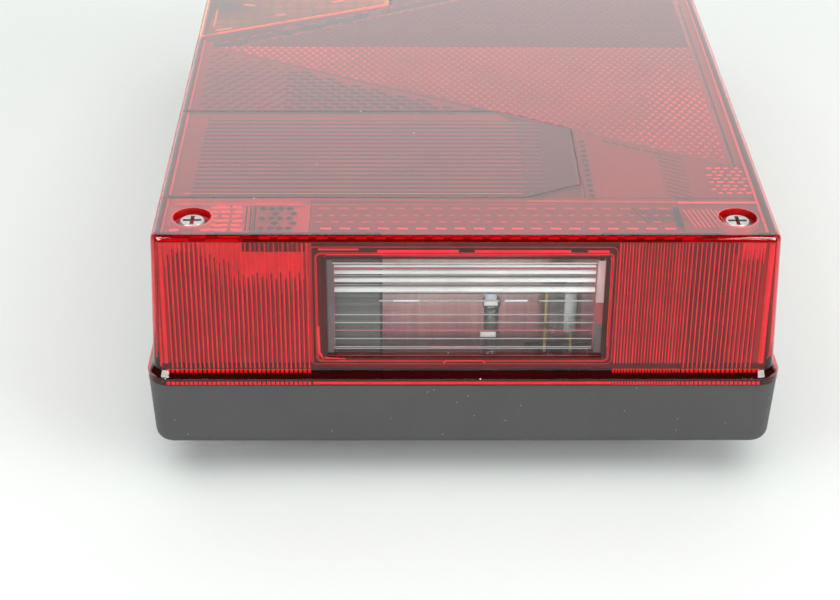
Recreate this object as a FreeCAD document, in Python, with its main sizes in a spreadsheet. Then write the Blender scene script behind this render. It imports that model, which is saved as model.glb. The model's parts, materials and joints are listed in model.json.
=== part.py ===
"""Trailer tail light with number plate lamp, for a trailer's left or right rear corner.

Frame: millimetres. X is the lamp's 140 mm height as mounted (-X is its upper edge), Y its 240 mm
length, +Z points out of the lens. The origin is the middle of the back face that lies on the
trailer; the number plate window is in the end wall at -Y. Everything is driven by the sheet "Params".
"""
import FreeCAD, Part
import Sketcher
import math
import os
import re

V = FreeCAD.Vector
doc = FreeCAD.newDocument("TrailerTailLight")
sheet = doc.addObject("Spreadsheet::Sheet", "Params")

PARAMS = [
    ("width_all", 140.0, "overall size across X, at the lens flange"),
    ("length_all", 240.0, "overall size along Y, at the lens flange"),
    ("depth_all", 52.0, "back face to lens face"),
    ("standoff", 9.0, "how far the studs and the socket collar stand out of the back"),
    ("base_top", 16.3, "top of the housing rim"),
    ("base_half", 69.85, "half width of the housing at its rim"),
    ("base_draft", 0.85, "how much narrower the housing is at its back"),
    ("base_wall", 2.65, "housing wall"),
    ("floor_thick", 2.5, "housing floor"),
    ("ledge_in", 62.4, "half width inside the gasket ledge"),
    ("ledge_low", 10.8, "underside of the gasket ledge"),
    ("ledge_high", 13.3, "top of the gasket ledge"),
    ("lip_high", 15.5, "top of the ledge's inner lip"),
    ("flange_high", 18.1, "top edge of the lens flange"),
    ("foot_high", 19.5, "foot of the lens wall"),
    ("foot_half", 68.65, "half width of the lens at its foot"),
    ("top_half", 67.25, "half width of the lens face"),
    ("lens_wall", 2.5, "lens wall and face thickness"),
    ("corner", 3.5, "plan radius of the lens corners"),
    ("lip_half", 64.2, "half width inside the lens flange's inner lip"),
    ("longer", 50.0, "how much longer than wide each outline is, per side"),
    ("screw_x", 59.0, "lens screws, from the middle line"),
    ("screw_y", 108.0, "lens screws, from the middle of the length"),
    ("well_rad", 4.15, "screw well radius"),
    ("well_floor", 48.0, "floor of the screw wells"),
    ("boss_high", 40.0, "top of the housing's screw bosses"),
    ("boss_rad", 4.5, "screw boss radius"),
    ("shank_rad", 2.0, "lens screw shank radius"),
    ("head_rad", 3.6, "lens screw head radius"),
    ("screw_tip", 28.0, "height of a lens screw's tip"),
    ("stud_pitch", 152.0, "mounting studs, centre to centre"),
    ("stud_rad", 2.5, "M5 stud"),
    ("neck_rad", 2.9, "stud neck in the housing floor"),
    ("collar_rad", 14.5, "outside of the socket collar"),
    ("collar_bore", 12.8, "inside of the socket collar"),
    ("pin_ring", 8.5, "radius of the circle of socket pins"),
    ("pin_rad", 1.15, "socket pin radius"),
    ("plate_low", 10.0, "underside of the bulb carrier"),
    ("plate_high", 12.0, "top of the bulb carrier"),
    ("strip_thick", 0.6, "contact strip thickness"),
    ("wall_high", 47.0, "top of the chamber walls"),
    ("seam", 0.1, "gap at the lens segment seams"),
    ("amber_x", -16.5, "inner edge of the amber segment"),
    ("window_half", 29.8, "half width of the number plate window"),
    ("window_low", 22.8, "lower edge of the window"),
    ("window_high", 46.7, "upper edge of the window"),
    ("bulb_z", 26.0, "height of the bulbs' axes"),
    ("cap_rad", 7.5, "bayonet cap radius"),
    ("sleeve_in", 7.75, "bulb holder bore radius"),
    ("sleeve_out", 8.6, "bulb holder outside radius"),
    ("glass_rad", 12.5, "bulb glass radius"),
    ("glass_mid", 33.0, "bulb glass centre, from the base contact"),
    ("press", 2.3, "how far a bulb is pressed in to release it"),
    ("indicator_x", -41.5, "indicator bulb"),
    ("indicator_y", 97.0, "indicator bulb base contact"),
    ("stop_x", 18.0, "stop and tail bulb"),
    ("stop_y", 86.0, "stop and tail bulb base contact"),
    ("fog_x", 22.0, "fog bulb base contact"),
    ("fog_y", -76.0, "fog bulb"),
    ("plate_x", 21.3, "number plate bulb"),
    ("plate_y", -108.0, "number plate bulb"),
    ("tri_apex", -64.0, "apex of the triangular reflector"),
    ("tri_base", 62.0, "base of the triangular reflector"),
    ("tri_mid", -13.0, "middle line of the triangular reflector"),
]
D = {}
for row, (alias, value, note) in enumerate(PARAMS, start=1):
    sheet.set("A%d" % row, alias)
    sheet.set("B%d" % row, str(value))
    sheet.setAlias("B%d" % row, alias)
    sheet.set("C%d" % row, note)
    D[alias] = value
doc.recompute()
NAMES = re.compile(r"\b(" + "|".join(sorted(D, key=len, reverse=True)) + r")\b")


def num(e):
    """The number that an expression of sheet names gives."""
    return float(work_out(e)) if isinstance(e, str) else float(e)


def work_out(e):
    """Works out + - * / and brackets on sheet names and numbers."""
    tokens = re.findall(r"[A-Za-z_]+|\d+\.?\d*|[-+*/()]", e)
    pos = [0]

    def peek():
        return tokens[pos[0]] if pos[0] < len(tokens) else None

    def take():
        pos[0] += 1
        return tokens[pos[0] - 1]

    def atom():
        tk = take()
        if tk == "(":
            v = total()
            take()
            return v
        if tk == "-":
            return -atom()
        if tk == "+":
            return atom()
        return D[tk] if tk in D else float(tk)

    def product():
        v = atom()
        while peek() in ("*", "/"):
            v = v * atom() if take() == "*" else v / atom()
        return v

    def total():
        v = product()
        while peek() in ("+", "-"):
            v = v + product() if take() == "+" else v - product()
        return v

    return total()


def bind(obj, prop, e):
    """Sets a property from the sheet by expression, or to a plain number."""
    if isinstance(e, str) and NAMES.search(e):
        obj.setExpression(prop, NAMES.sub(lambda k: "Params." + k.group(1), e))
    elif prop.startswith("Placement.Base."):
        p = obj.Placement
        setattr(p.Base, prop[-1], num(e))
        base = V(p.Base)
        setattr(base, prop[-1], num(e))
        obj.Placement = FreeCAD.Placement(base, p.Rotation)
    else:
        setattr(obj, prop, num(e))


def place(obj, at, rot=None):
    base = V(*[num(e) for e in at])
    obj.Placement = FreeCAD.Placement(base, rot or obj.Placement.Rotation)
    for axis, e in zip("xyz", at):
        if isinstance(e, str) and NAMES.search(e):
            bind(obj, "Placement.Base." + axis, e)
    return obj


ALONG = {
    "z": FreeCAD.Rotation(),
    "x": FreeCAD.Rotation(V(0, 1, 0), 90),
    "y": FreeCAD.Rotation(V(1, 0, 0), -90),
    "-z": FreeCAD.Rotation(V(1, 0, 0), 180),
}
counter = [0]


def fresh(stem):
    counter[0] += 1
    return "%s_%03d" % (stem, counter[0])


def box(x, y, z):
    """A box from (low, high) on each axis."""
    o = doc.addObject("Part::Box", fresh("Box"))
    for prop, (lo, hi) in zip(("Length", "Width", "Height"), (x, y, z)):
        bind(o, prop, "(%s)-(%s)" % (hi, lo))
    return place(o, [str(x[0]), str(y[0]), str(z[0])])


def cyl(rad, height, at=(0, 0, 0), along="z"):
    o = doc.addObject("Part::Cylinder", fresh("Cylinder"))
    bind(o, "Radius", rad)
    bind(o, "Height", height)
    return place(o, at, ALONG[along])


def cone(rad_a, rad_b, height, at=(0, 0, 0)):
    o = doc.addObject("Part::Cone", fresh("Cone"))
    bind(o, "Radius1", rad_a)
    bind(o, "Radius2", rad_b)
    bind(o, "Height", height)
    return place(o, at)


def ball(rad, at=(0, 0, 0)):
    o = doc.addObject("Part::Sphere", fresh("Sphere"))
    bind(o, "Radius", rad)
    return place(o, at)


def ring(rad_out, rad_in, height, at=(0, 0, 0)):
    return cut(cyl(rad_out, height, at), cyl(rad_in, height, at))


def cut(base, tool, name=None):
    o = doc.addObject("Part::Cut", name or fresh("Cut"))
    o.Base, o.Tool = base, tool
    return o


def fuse(shapes, name=None):
    o = doc.addObject("Part::MultiFuse", name or fresh("Fuse"))
    o.Shapes = list(shapes)
    return o


def common(a, b, name=None):
    o = doc.addObject("Part::MultiCommon", name or fresh("Common"))
    o.Shapes = [a, b]
    return o


def group(shapes, name=None):
    o = doc.addObject("Part::Compound", name or fresh("Group"))
    o.Links = list(shapes)
    return o


# ---------- PartDesign helpers ----------


def body(name):
    return doc.addObject("PartDesign::Body", name)


def sketch(owner, height, name="Sketch"):
    """A sketch parallel to the body's own XY plane, at a height from the sheet."""
    s = owner.newObject("Sketcher::SketchObject", fresh(name))
    flat = [f for f in owner.Origin.OriginFeatures if f.Role == "XY_Plane"][0]
    s.AttachmentSupport = (flat, [""])
    s.MapMode = "FlatFace"
    s.AttachmentOffset = FreeCAD.Placement(V(0, 0, num(height)), FreeCAD.Rotation())
    if isinstance(height, str) and NAMES.search(height):
        s.setExpression(
            "AttachmentOffset.Base.z",
            NAMES.sub(lambda k: "Params." + k.group(1), height),
        )
    return s


def dim(s, constraint, e):
    i = s.addConstraint(constraint)
    if isinstance(e, str) and NAMES.search(e):
        s.setExpression(
            "Constraints[%d]" % i, NAMES.sub(lambda k: "Params." + k.group(1), e)
        )
    return i


def rounded(s, half_x, half_y, rad):
    """A rounded rectangle about the origin."""
    a, b, r = num(half_x), num(half_y), num(rad)
    n = s.GeometryCount
    L, A = Part.LineSegment, Part.ArcOfCircle
    up = V(0, 0, 1)
    s.addGeometry(L(V(-a + r, -b, 0), V(a - r, -b, 0)), False)
    s.addGeometry(
        A(Part.Circle(V(a - r, -b + r, 0), up, r), -math.pi / 2, 0), False
    )
    s.addGeometry(L(V(a, -b + r, 0), V(a, b - r, 0)), False)
    s.addGeometry(A(Part.Circle(V(a - r, b - r, 0), up, r), 0, math.pi / 2), False)
    s.addGeometry(L(V(a - r, b, 0), V(-a + r, b, 0)), False)
    s.addGeometry(
        A(Part.Circle(V(-a + r, b - r, 0), up, r), math.pi / 2, math.pi), False
    )
    s.addGeometry(L(V(-a, b - r, 0), V(-a, -b + r, 0)), False)
    s.addGeometry(
        A(Part.Circle(V(-a + r, -b + r, 0), up, r), math.pi, 1.5 * math.pi), False
    )
    C = Sketcher.Constraint
    for i in range(8):
        j = (i + 1) % 8
        s.addConstraint(C("Tangent", n + i, 2, n + j, 1))
    s.addConstraint(C("Horizontal", n))
    s.addConstraint(C("Horizontal", n + 4))
    s.addConstraint(C("Vertical", n + 2))
    s.addConstraint(C("Vertical", n + 6))
    for i in (3, 5, 7):
        s.addConstraint(C("Equal", n + 1, n + i))
    dim(s, C("Radius", n + 1, r), rad)
    dim(s, C("DistanceX", -1, 1, n + 2, 1, a), half_x)
    dim(s, C("DistanceX", n + 6, 1, -1, 1, a), half_x)
    dim(s, C("DistanceY", -1, 1, n + 4, 1, b), half_y)
    dim(s, C("DistanceY", n, 1, -1, 1, b), half_y)
    return s


def circle(s, x, y, rad):
    n = s.addGeometry(
        Part.Circle(V(num(x), num(y), 0), V(0, 0, 1), num(rad)), False
    )
    C = Sketcher.Constraint
    dim(s, C("Radius", n, num(rad)), rad)
    for kind, e in (("DistanceX", x), ("DistanceY", y)):
        if abs(num(e)) < 1e-9:
            s.addConstraint(C("PointOnObject", n, 3, -2 if kind == "DistanceX" else -1))
        elif num(e) > 0:
            dim(s, C(kind, -1, 1, n, 3, num(e)), e)
        else:
            dim(s, C(kind, n, 3, -1, 1, -num(e)), "-(%s)" % e if isinstance(e, str) else e)
    return s


def polygon(s, points):
    """A closed polygon whose corners are set one by one from the origin."""
    n = s.GeometryCount
    pts = [V(num(x), num(y), 0) for x, y in points]
    for i, p in enumerate(pts):
        s.addGeometry(Part.LineSegment(p, pts[(i + 1) % len(pts)]), False)
    C = Sketcher.Constraint
    for i in range(len(pts)):
        s.addConstraint(C("Coincident", n + i, 2, n + (i + 1) % len(pts), 1))
    for i, (x, y) in enumerate(points):
        for kind, e in (("DistanceX", x), ("DistanceY", y)):
            if abs(num(e)) < 1e-9:
                s.addConstraint(
                    C("PointOnObject", n + i, 1, -2 if kind == "DistanceX" else -1)
                )
            elif num(e) > 0:
                dim(s, C(kind, -1, 1, n + i, 1, num(e)), e)
            else:
                dim(
                    s,
                    C(kind, n + i, 1, -1, 1, -num(e)),
                    "-(%s)" % e if isinstance(e, str) else e,
                )
    return s


def pad(owner, s, length, name="Pad"):
    f = owner.newObject("PartDesign::Pad", fresh(name))
    f.Profile = s
    bind(f, "Length", length)
    doc.recompute()
    return f


def pocket(owner, s, length, name="Pocket"):
    """Cuts downwards (-Z) from the sketch, and stops the macro if nothing was cut."""
    before = owner.Tip.Shape.Volume
    f = owner.newObject("PartDesign::Pocket", fresh(name))
    f.Profile = s
    f.Type = "Length"
    bind(f, "Length", length)
    doc.recompute()
    if f.Shape.Volume > before - 1e-3:
        raise RuntimeError(f.Name + " cut nothing")
    return f


def loft(owner, lower, upper, subtract=False):
    before = owner.Tip.Shape.Volume if subtract else 0
    kind = "PartDesign::SubtractiveLoft" if subtract else "PartDesign::AdditiveLoft"
    f = owner.newObject(kind, fresh("Loft"))
    f.Profile = lower
    f.Sections = [upper]
    f.Ruled = True
    doc.recompute()
    if subtract and f.Shape.Volume > before - 1e-3:
        raise RuntimeError(f.Name + " cut nothing")
    return f


def fillet(owner, rad, pick):
    """Rounds the edges of the body's last feature that pick says."""
    tip = owner.Tip
    names = [
        "Edge%d" % (i + 1) for i, e in enumerate(tip.Shape.Edges) if pick(e)
    ]
    f = owner.newObject("PartDesign::Fillet", fresh("Fillet"))
    f.Base = (tip, names)
    bind(f, "Radius", rad)
    doc.recompute()
    return f


def drafted(owner, rise, run, neutral_z, reverse):
    """Tilts the walls of the body's last feature about its face at neutral_z."""
    tip = owner.Tip
    faces = list(enumerate(tip.Shape.Faces))
    walls = ["Face%d" % (i + 1) for i, f in faces if f.BoundBox.ZLength > 5]
    still = [
        "Face%d" % (i + 1)
        for i, f in faces
        if f.BoundBox.ZLength < 1e-6 and abs(f.BoundBox.ZMin - num(neutral_z)) < 1e-4
    ]
    f = owner.newObject("PartDesign::Draft", fresh("Draft"))
    f.Base = (tip, walls)
    f.NeutralPlane = (tip, still[:1])
    f.Reversed = reverse
    f.Angle = math.degrees(math.atan(num(run) / num(rise)))
    f.setExpression(
        "Angle",
        "atan((%s)/(%s))"
        % tuple(NAMES.sub(lambda k: "Params." + k.group(1), e) for e in (run, rise)),
    )
    doc.recompute()
    return f


def level(z, tol=1e-4):
    return lambda e: abs(e.BoundBox.ZMin - z) < tol and abs(e.BoundBox.ZMax - z) < tol


NODES = []


def node(obj, label):
    obj.Label = label
    NODES.append((label, obj))
    return obj


LONG = "+longer"

# ---------- rear housing: a drafted tray with bosses, a gasket ledge and a ribbed back ----------
hb = body("RearHousing")
pad(hb, rounded(sketch(hb, 0), "base_half", "base_half" + LONG, "corner+1.6"), "base_top")
drafted(hb, "base_top", "base_draft", "base_top", True)
fillet(hb, 2.4, level(0.0))
pocket(
    hb,
    rounded(
        sketch(hb, "base_top"), "base_half-base_wall", "base_half-base_wall" + LONG, "corner-0.5"
    ),
    "base_top-floor_thick",
)
s = sketch(hb, "ledge_low")
rounded(s, "base_half-base_wall+0.5", "base_half-base_wall+0.5" + LONG, "corner-0.2")
rounded(s, "ledge_in", "ledge_in" + LONG, 1.5)
pad(hb, s, "ledge_high-ledge_low")
s = sketch(hb, "ledge_high")
rounded(s, "ledge_in+1", "ledge_in+1" + LONG, 2.0)
rounded(s, "ledge_in", "ledge_in" + LONG, 1.5)
pad(hb, s, "lip_high-ledge_high")
# screw bosses with pilot holes
s = sketch(hb, "floor_thick-0.5")
for sx in ("", "-"):
    for sy in ("", "-"):
        circle(s, sx + "screw_x", sy + "screw_y", "boss_rad")
pad(hb, s, "boss_high-floor_thick+0.5")
s = sketch(hb, "boss_high")
for sx in ("", "-"):
    for sy in ("", "-"):
        circle(s, sx + "screw_x", sy + "screw_y", "shank_rad+0.15")
pocket(hb, s, 18.0)
# stud bosses, carrier posts
s = sketch(hb, "floor_thick-0.5")
for sy in ("", "-"):
    circle(s, 0, sy + "stud_pitch/2", 8.5)
pad(hb, s, 5.5)
s = sketch(hb, "floor_thick-0.5")
for sx in (54, -54):
    for sy in (36, -60):
        circle(s, sx, sy, 4.0)
pad(hb, s, "plate_low-floor_thick+0.5")
s = sketch(hb, "plate_low")
for sx in (54, -54):
    for sy in (36, -60):
        circle(s, sx, sy, 1.5)
pocket(hb, s, 7.0)
# stud holes, hexagon seats, socket hole, drain holes
s = sketch(hb, 4.0)
for sy in ("", "-"):
    circle(s, 0, sy + "stud_pitch/2", "neck_rad+0.1")
pocket(hb, s, 6.0)
s = sketch(hb, 7.5)
for k in (1, -1):
    af = 8.2 / math.sqrt(3)
    polygon(
        s,
        [
            (af * math.cos(math.radians(a)) , k * D["stud_pitch"] / 2 + af * math.sin(math.radians(a)))
            for a in (0, 60, 120, 180, 240, 300)
        ],
    )
pocket(hb, s, 3.5)
pocket(hb, circle(sketch(hb, 3.0), 0, 0, "collar_rad+0.7"), 4.0)
s = sketch(hb, 3.0)
circle(s, 52, -96, 1.6)
circle(s, 52, 96, 1.6)
pocket(hb, s, 4.0)
# the back: seal seats round the studs and the collar, then the four shallow panels between its ribs
s = sketch(hb, 1.2)
circle(s, 0, 0, 19.6)
for sy in ("", "-"):
    circle(s, 0, sy + "stud_pitch/2", 7.3)
pocket(hb, s, 2.0)
s = sketch(hb, 0.8)
for kx in (1, -1):
    for y0, y1 in ((24.0, 62.0), (90.0, 110.0), (-62.0, -24.0), (-110.0, -90.0)):
        polygon(s, [(kx * 12.0, y0), (kx * 62.0, y0), (kx * 62.0, y1), (kx * 12.0, y1)])
pocket(hb, s, 1.5)
node(hb, "rear_housing")

# ---------- rim gasket ----------
gb = body("RimGasket")
s = sketch(gb, "ledge_high")
rounded(s, "base_half-base_wall-0.15", "base_half-base_wall-0.15" + LONG, "corner-0.6")
rounded(s, "ledge_in+1.1", "ledge_in+1.1" + LONG, 2.0)
pad(gb, s, "base_top-ledge_high")
node(gb, "rim_gasket")

# ---------- mounting studs, their seals, and the socket ----------
studs, seals = [], []
for k in ("", "-"):
    y = k + "stud_pitch/2"
    hexagon = doc.addObject("Part::Prism", fresh("Prism"))
    hexagon.Polygon = 6
    hexagon.Circumradius = 8.0 / math.sqrt(3)
    hexagon.Height = 3.3
    place(hexagon, [0, y, 4.0])
    chamfer = cone("stud_rad-0.6", "stud_rad", 0.6, (0, y, "-standoff"))
    studs.append(
        fuse(
            [
                hexagon,
                cyl("neck_rad", 4.0, (0, y, 0)),
                cyl("stud_rad", "standoff-0.6", (0, y, "0.6-standoff")),
                chamfer,
            ]
        )
    )
    seals.append(ring(7.1, 3.75, 2.2, (0, y, -1.0)))
node(group(studs), "mounting_studs")
node(group(seals), "stud_seals")
node(ring(19.4, 15.4, 2.2, (0, 0, -1.0)), "socket_seal")

collar = fuse(
    [
        cyl("collar_rad", "standoff", (0, 0, "-standoff")),
        cyl("collar_rad+0.5", 10.8, (0, 0, -1.2)),
        cyl(20.0, 2.0, (0, 0, "floor_thick")),
    ]
)
collar = cut(collar, cyl("collar_bore", "standoff+9.6", (0, 0, "-standoff")))
slots = [ring("collar_bore+1", "collar_bore-1", 2.6, (0, 0, -1.2))]
for ang in (90, 210, 330):
    b = box(("collar_bore-2", "collar_bore+1"), (-2.2, 2.2), ("-standoff-1", 0))
    c, sn = math.cos(math.radians(ang)), math.sin(math.radians(ang))
    turn = FreeCAD.Rotation(V(0, 0, 1), ang)
    off = turn.multVec(V(D["collar_bore"] - 2, -2.2, 0))
    b.setExpression("Placement.Base.x", None)
    b.Placement = FreeCAD.Placement(V(off.x, off.y, -D["standoff"] - 1), turn)
    slots.append(b)
node(cut(collar, fuse(slots)), "socket_collar")

pin_at = [
    ("pin_ring*%.6f" % math.cos(math.radians(a)), "pin_ring*%.6f" % math.sin(math.radians(a)))
    for a in (72, 144, 216, 288, 0)
]
holes, pins = [], []
for x, y in pin_at:
    holes.append(cyl("pin_rad+0.05", 4.0, (x, y, 5.0)))
    pins.append(
        fuse(
            [
                cyl("pin_rad", "plate_high+2.4", (x, y, -2.4)),
                cone("pin_rad-0.5", "pin_rad", 0.6, (x, y, -3.0)),
            ]
        )
    )
node(
    cut(cyl("collar_bore-0.05", 4.0, (0, 0, 5.0)), fuse(holes)), "socket_insert"
)
node(group(pins), "socket_pins")

# ---------- bulb carrier with its screws, reflector tray and chamber walls ----------
plate = box((-62, 62), (-112, 112), ("plate_low", "plate_high"))
notches = [
    box(sorted((kx * 53.0, kx * 63.0)), sorted((ky * 102.0, ky * 113.0)), (9, 13))
    for kx in (1, -1)
    for ky in (1, -1)
]
notches += [cyl("pin_rad+0.35", 4.0, (x, y, 9.0)) for x, y in pin_at]
notches += [cyl(1.7, 4.0, (kx * 54.0, y, 9.0)) for kx in (1, -1) for y in (36.0, -60.0)]
node(cut(plate, fuse(notches)), "bulb_carrier")

heads = []
for kx in (1, -1):
    for y in (36.0, -60.0):
        at = (kx * 54.0, y)
        screw = fuse(
            [
                cyl(3.2, 1.2, (at[0], at[1], "plate_high")),
                cone(3.2, 2.2, 0.9, (at[0], at[1], "plate_high+1.2")),
                cyl(1.4, 8.5, (at[0], at[1], "plate_high-8.5")),
            ]
        )
        cross = fuse(
            [
                box((at[0] - 1.7, at[0] + 1.7), (at[1] - 0.35, at[1] + 0.35), ("plate_high+1", "plate_high+3")),
                box((at[0] - 0.35, at[0] + 0.35), (at[1] - 1.7, at[1] + 1.7), ("plate_high+1", "plate_high+3")),
            ]
        )
        heads.append(cut(screw, cross))
node(group(heads), "carrier_screws")

STRIP = "plate_high+strip_thick"


def strips(boxes, tabs=()):
    """Flat contact strips on the carrier, with tabs that stand up from them."""
    parts = [box((x0, x1), (y0, y1), ("plate_high", STRIP)) for x0, x1, y0, y1 in boxes]
    parts += [box((x0, x1), (y0, y1), ("plate_high", z1)) for x0, x1, y0, y1, z1 in tabs]
    return fuse(parts)


feeds = [
    node(
        strips(
            [
                (5.5, 46, -2.5, 2.5),
                (44, 49, -109, 108),
                (-34, 49, 103, 108),
                (-34, -29, 88, 108),
                (-43, -29, 88, 93),
                (15, 49, 76, 81),
                (14, 49, -90, -85),
                (14, 19, -90, -74),
                (22, 49, -110, -105),
            ]
        ),
        "ground_strip",
    ),
    node(
        strips(
            [
                (-62, -4.5, -7.5, -2.5),
                (-62, -57.6, -7.5, 100),
                (-62, -49, 95, 100),
                (-53, -49, 95, 112),
                (-53, -36, 109, 112),
            ],
            [(-47, -36, 109, 109.6, 31)],
        ),
        "indicator_feed_strip",
    ),
    node(
        strips([(0, 4, 5.5, 96), (0, 12.3, 92, 96)], [(11.7, 12.3, 92, 96, 26)]),
        "tail_feed_strip",
    ),
    node(
        strips(
            [(-9.5, -4.5, 2, 102), (-9.5, 23.5, 98, 102)],
            [(12.5, 23.5, 98, 98.6, 31)],
        ),
        "stop_feed_strip",
    ),
    node(
        strips(
            [(0.4, 9, -14, -5.6), (4.8, 41, -20, -12), (34, 41, -81.5, -12)],
            [(34, 34.6, -81.5, -70.5, 31)],
        ),
        "fog_feed_strip",
    ),
]
room_for_strips = group(feeds)

tray = fuse(
    [
        box((-60, 9), (-98.6, -54), ("plate_high", STRIP + "+0.8")),
        box((-60, -58.8), (-98.6, -54), ("plate_high", 36)),
    ]
)
node(cut(tray, fuse([room_for_strips, cyl(3.8, 8, (-54, -60, 10))])), "fog_reflector")
walls = fuse(
    [
        box((-53, 53), (-101.6, -100), ("plate_high", "wall_high")),
        box((-62, 40), (-52, -50.4), ("plate_high", "wall_high-2")),
        box((-60, -18), (-112, -110.6), ("plate_high", 44)),
        box((-19.4, -18), (-111, -100.8), ("plate_high", 44)),
        box((-62, -60.4), (-98, -52), ("plate_high", "wall_high-2")),
    ]
)
keep_clear = [
    cyl("boss_rad+0.8", 50, ("-screw_x", "-screw_y", 0)),
    cyl("boss_rad+0.8", 50, ("screw_x", "-screw_y", 0)),
]
node(cut(walls, fuse(keep_clear + [room_for_strips])), "chamber_walls")

# the folded wall that keeps amber and red light apart
fold = body("AmberPartition")
s = sketch(fold, "plate_high")
polygon(
    s,
    [
        (-62.0, -9.6),
        ("amber_x-1.2", 11.4),
        ("amber_x-1.2", 99.0),
        ("amber_x-2.8", 99.0),
        ("amber_x-2.8", 12.5),
        (-62.0, -7.8),
    ],
)
pad(fold, s, "wall_high-plate_high")
node(cut(fold, room_for_strips), "amber_partition")


def bowl(x, y):
    """A round reflector dish with a slot for a bulb that lies along Y."""
    outer = cone(11.2, 20.6, 24.0, (x, y, "plate_high"))
    inner = cone(10.2, 19.6, 22.8, (x, y, STRIP + "+0.7"))
    rim = ring(21.6, 20.0, 1.0, (x, y, STRIP + "+22.4"))
    dish = fuse([cut(outer, inner), rim])
    neck = box((x + "-9.6", x + "+9.6"), (y + "+3", y + "+30"), (16.8, 40))
    return cut(dish, neck)


# each dish is centred on the middle of its bulb's stroke
node(bowl("stop_x", "stop_y-glass_mid+press/2"), "stop_tail_reflector")
node(bowl("indicator_x", "indicator_y-glass_mid+press/2"), "indicator_reflector")


# ---------- bayonet bulbs in sprung holders; each is built along +Z from its base contact ----------
LYING_Y = FreeCAD.Rotation(V(1, 0, 0), 90)  # axis to -Y, local Y up
LYING_X = FreeCAD.Rotation(V(0, -1, 0), V(0, 0, 1), V(-1, 0, 0), "ZYX")  # axis to -X, local Y up

insulators = []


def coil_spring(mean_rad, wire_rad, pitch, half_turns, start):
    """A coil along Z made of tilted half rings: each rises half a pitch, and neighbours meet square on the plane Y = 0."""
    tilt = math.atan2(pitch / 2, 2 * mean_rad)
    arc = math.hypot(pitch / 2, 2 * mean_rad) / 2
    halves = []
    for i in range(half_turns):
        h = doc.addObject("Part::Torus", fresh("SpringHalf"))
        h.Radius1, h.Radius2, h.Angle3 = arc, wire_rad, 180
        side = 1 if i % 2 == 0 else -1
        turn = FreeCAD.Rotation(V(0, 1, 0), math.degrees(tilt) * side)
        if side < 0:
            turn = turn.multiply(FreeCAD.Rotation(V(0, 0, 1), 180))
        h.Placement = FreeCAD.Placement(V(0, 0, start + pitch / 4 + i * pitch / 2), turn)
        halves.append(h)
    return fuse(halves, "Spring")


def holder_and_bulb(stem, at, rot, pin_levels):
    # sleeve with a floor, release slots for the bulb's pins, and a foot on the strip
    sleeve = cyl("sleeve_out", 15.6, (0, 0, -2.6))
    foot = box((-5, 5), ("-(bulb_z-plate_high-strip_thick)", "0-sleeve_in"), (1, 10))
    shell = cut(fuse([sleeve, foot]), cyl("sleeve_in", 20, (0, 0, -1.4)))
    slots = [cyl(2.6, 5, (0, 0, -4))]
    for side, lev in zip((1, -1), pin_levels):
        for y0, y1, z0, z1 in (
            (-1.3, 4.3, lev - 1.3 - D["press"], lev + 1.3),
            (1.3, 4.3, lev - 1.3 - D["press"], 16),
        ):
            slots.append(
                box(
                    sorted((side * 6.0, side * 10.0)),
                    sorted((side * y0, side * y1)),
                    (z0, z1),
                )
            )
    shell = cut(shell, fuse(slots))
    place(shell, at, rot)
    node(shell, stem + "_bulb_holder")
    # insulator tube behind the sleeve
    tube = cut(cyl(5.5, 9.4, (0, 0, -12)), cyl(3.5, 9.4, (0, 0, -12)))
    place(tube, at, rot)
    insulators.append(tube)
    # contact plunger
    plunger = fuse(
        [
            cyl(2.25, 2.7, (0, 0, -2.7)),
            cyl(3.1, 1.1, (0, 0, -3.8)),
            cyl(1.0, 5.3, (0, 0, -9.0)),
        ]
    )
    place(plunger, at, rot)
    node(plunger, stem + "_contact_plunger")
    # coil spring round the plunger's stem
    spring = coil_spring(2.3, 0.3, 1.84, 8, -11.66)
    place(spring, at, rot)
    node(spring, stem + "_contact_spring")
    # bulb: cap with pins and base contact
    cap = fuse(
        [
            cyl("cap_rad", 15.3, (0, 0, 1.2)),
            cyl("cap_rad+0.6", 1.0, (0, 0, 15.6)),
            cyl(2.0, 1.4, (0, 0, 0)),
            cyl(1.0, 1.7, (7.2, 0, pin_levels[0]), "x"),
            cyl(1.0, 1.7, (-8.9, 0, pin_levels[1]), "x"),
        ]
    )
    cap = cut(cap, fuse([cyl("cap_rad-0.5", 13.5, (0, 0, 2.0)), cyl(6.6, 4.0, (0, 0, 15.0))]))
    place(cap, at, rot)
    node(cap, stem + "_bulb_cap")
    # hollow pear-shaped glass
    outer = fuse(
        [
            ball("glass_rad", (0, 0, "glass_mid")),
            cyl(6.6, 12.0, (0, 0, 8.5)),
            cone(6.6, 11.2, 7.2, (0, 0, 20.2)),
        ]
    )
    inner = fuse(
        [
            ball("glass_rad-0.8", (0, 0, "glass_mid")),
            cyl(5.8, 10.6, (0, 0, 10.0)),
            cone(5.8, 10.4, 7.2, (0, 0, 20.2)),
        ]
    )
    glass = cut(outer, inner)
    place(glass, at, rot)
    node(glass, stem + "_bulb_glass")
    # stem, lead wires and coil
    stem_parts = [
        fuse(
            [
                cone(3.6, 1.6, 9.4, (0, 0, 10.0)),
                ball(1.5, (0, 0, 20.0)),
                cyl(0.35, 13.0, (2.6, 0, 18.4)),
                cyl(0.35, 13.0, (-2.6, 0, 18.4)),
                cyl(0.45, 5.9, (-2.95, 0, 31.2), "x"),
                box((-2.6, 2.6), (-0.35, 0.35), (18.4, 19.2)),
            ]
        )
    ]
    mount = group(stem_parts)
    place(mount, at, rot)
    node(mount, stem + "_bulb_filament")


holder_and_bulb("indicator", ["indicator_x", "indicator_y", "bulb_z"], LYING_Y, (8.0, 8.0))
holder_and_bulb("stop_tail", ["stop_x", "stop_y", "bulb_z"], LYING_Y, (8.0, 5.6))
holder_and_bulb("fog", ["fog_x", "fog_y", "bulb_z"], LYING_X, (8.0, 8.0))
node(group(insulators), "holder_insulators")

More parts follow.
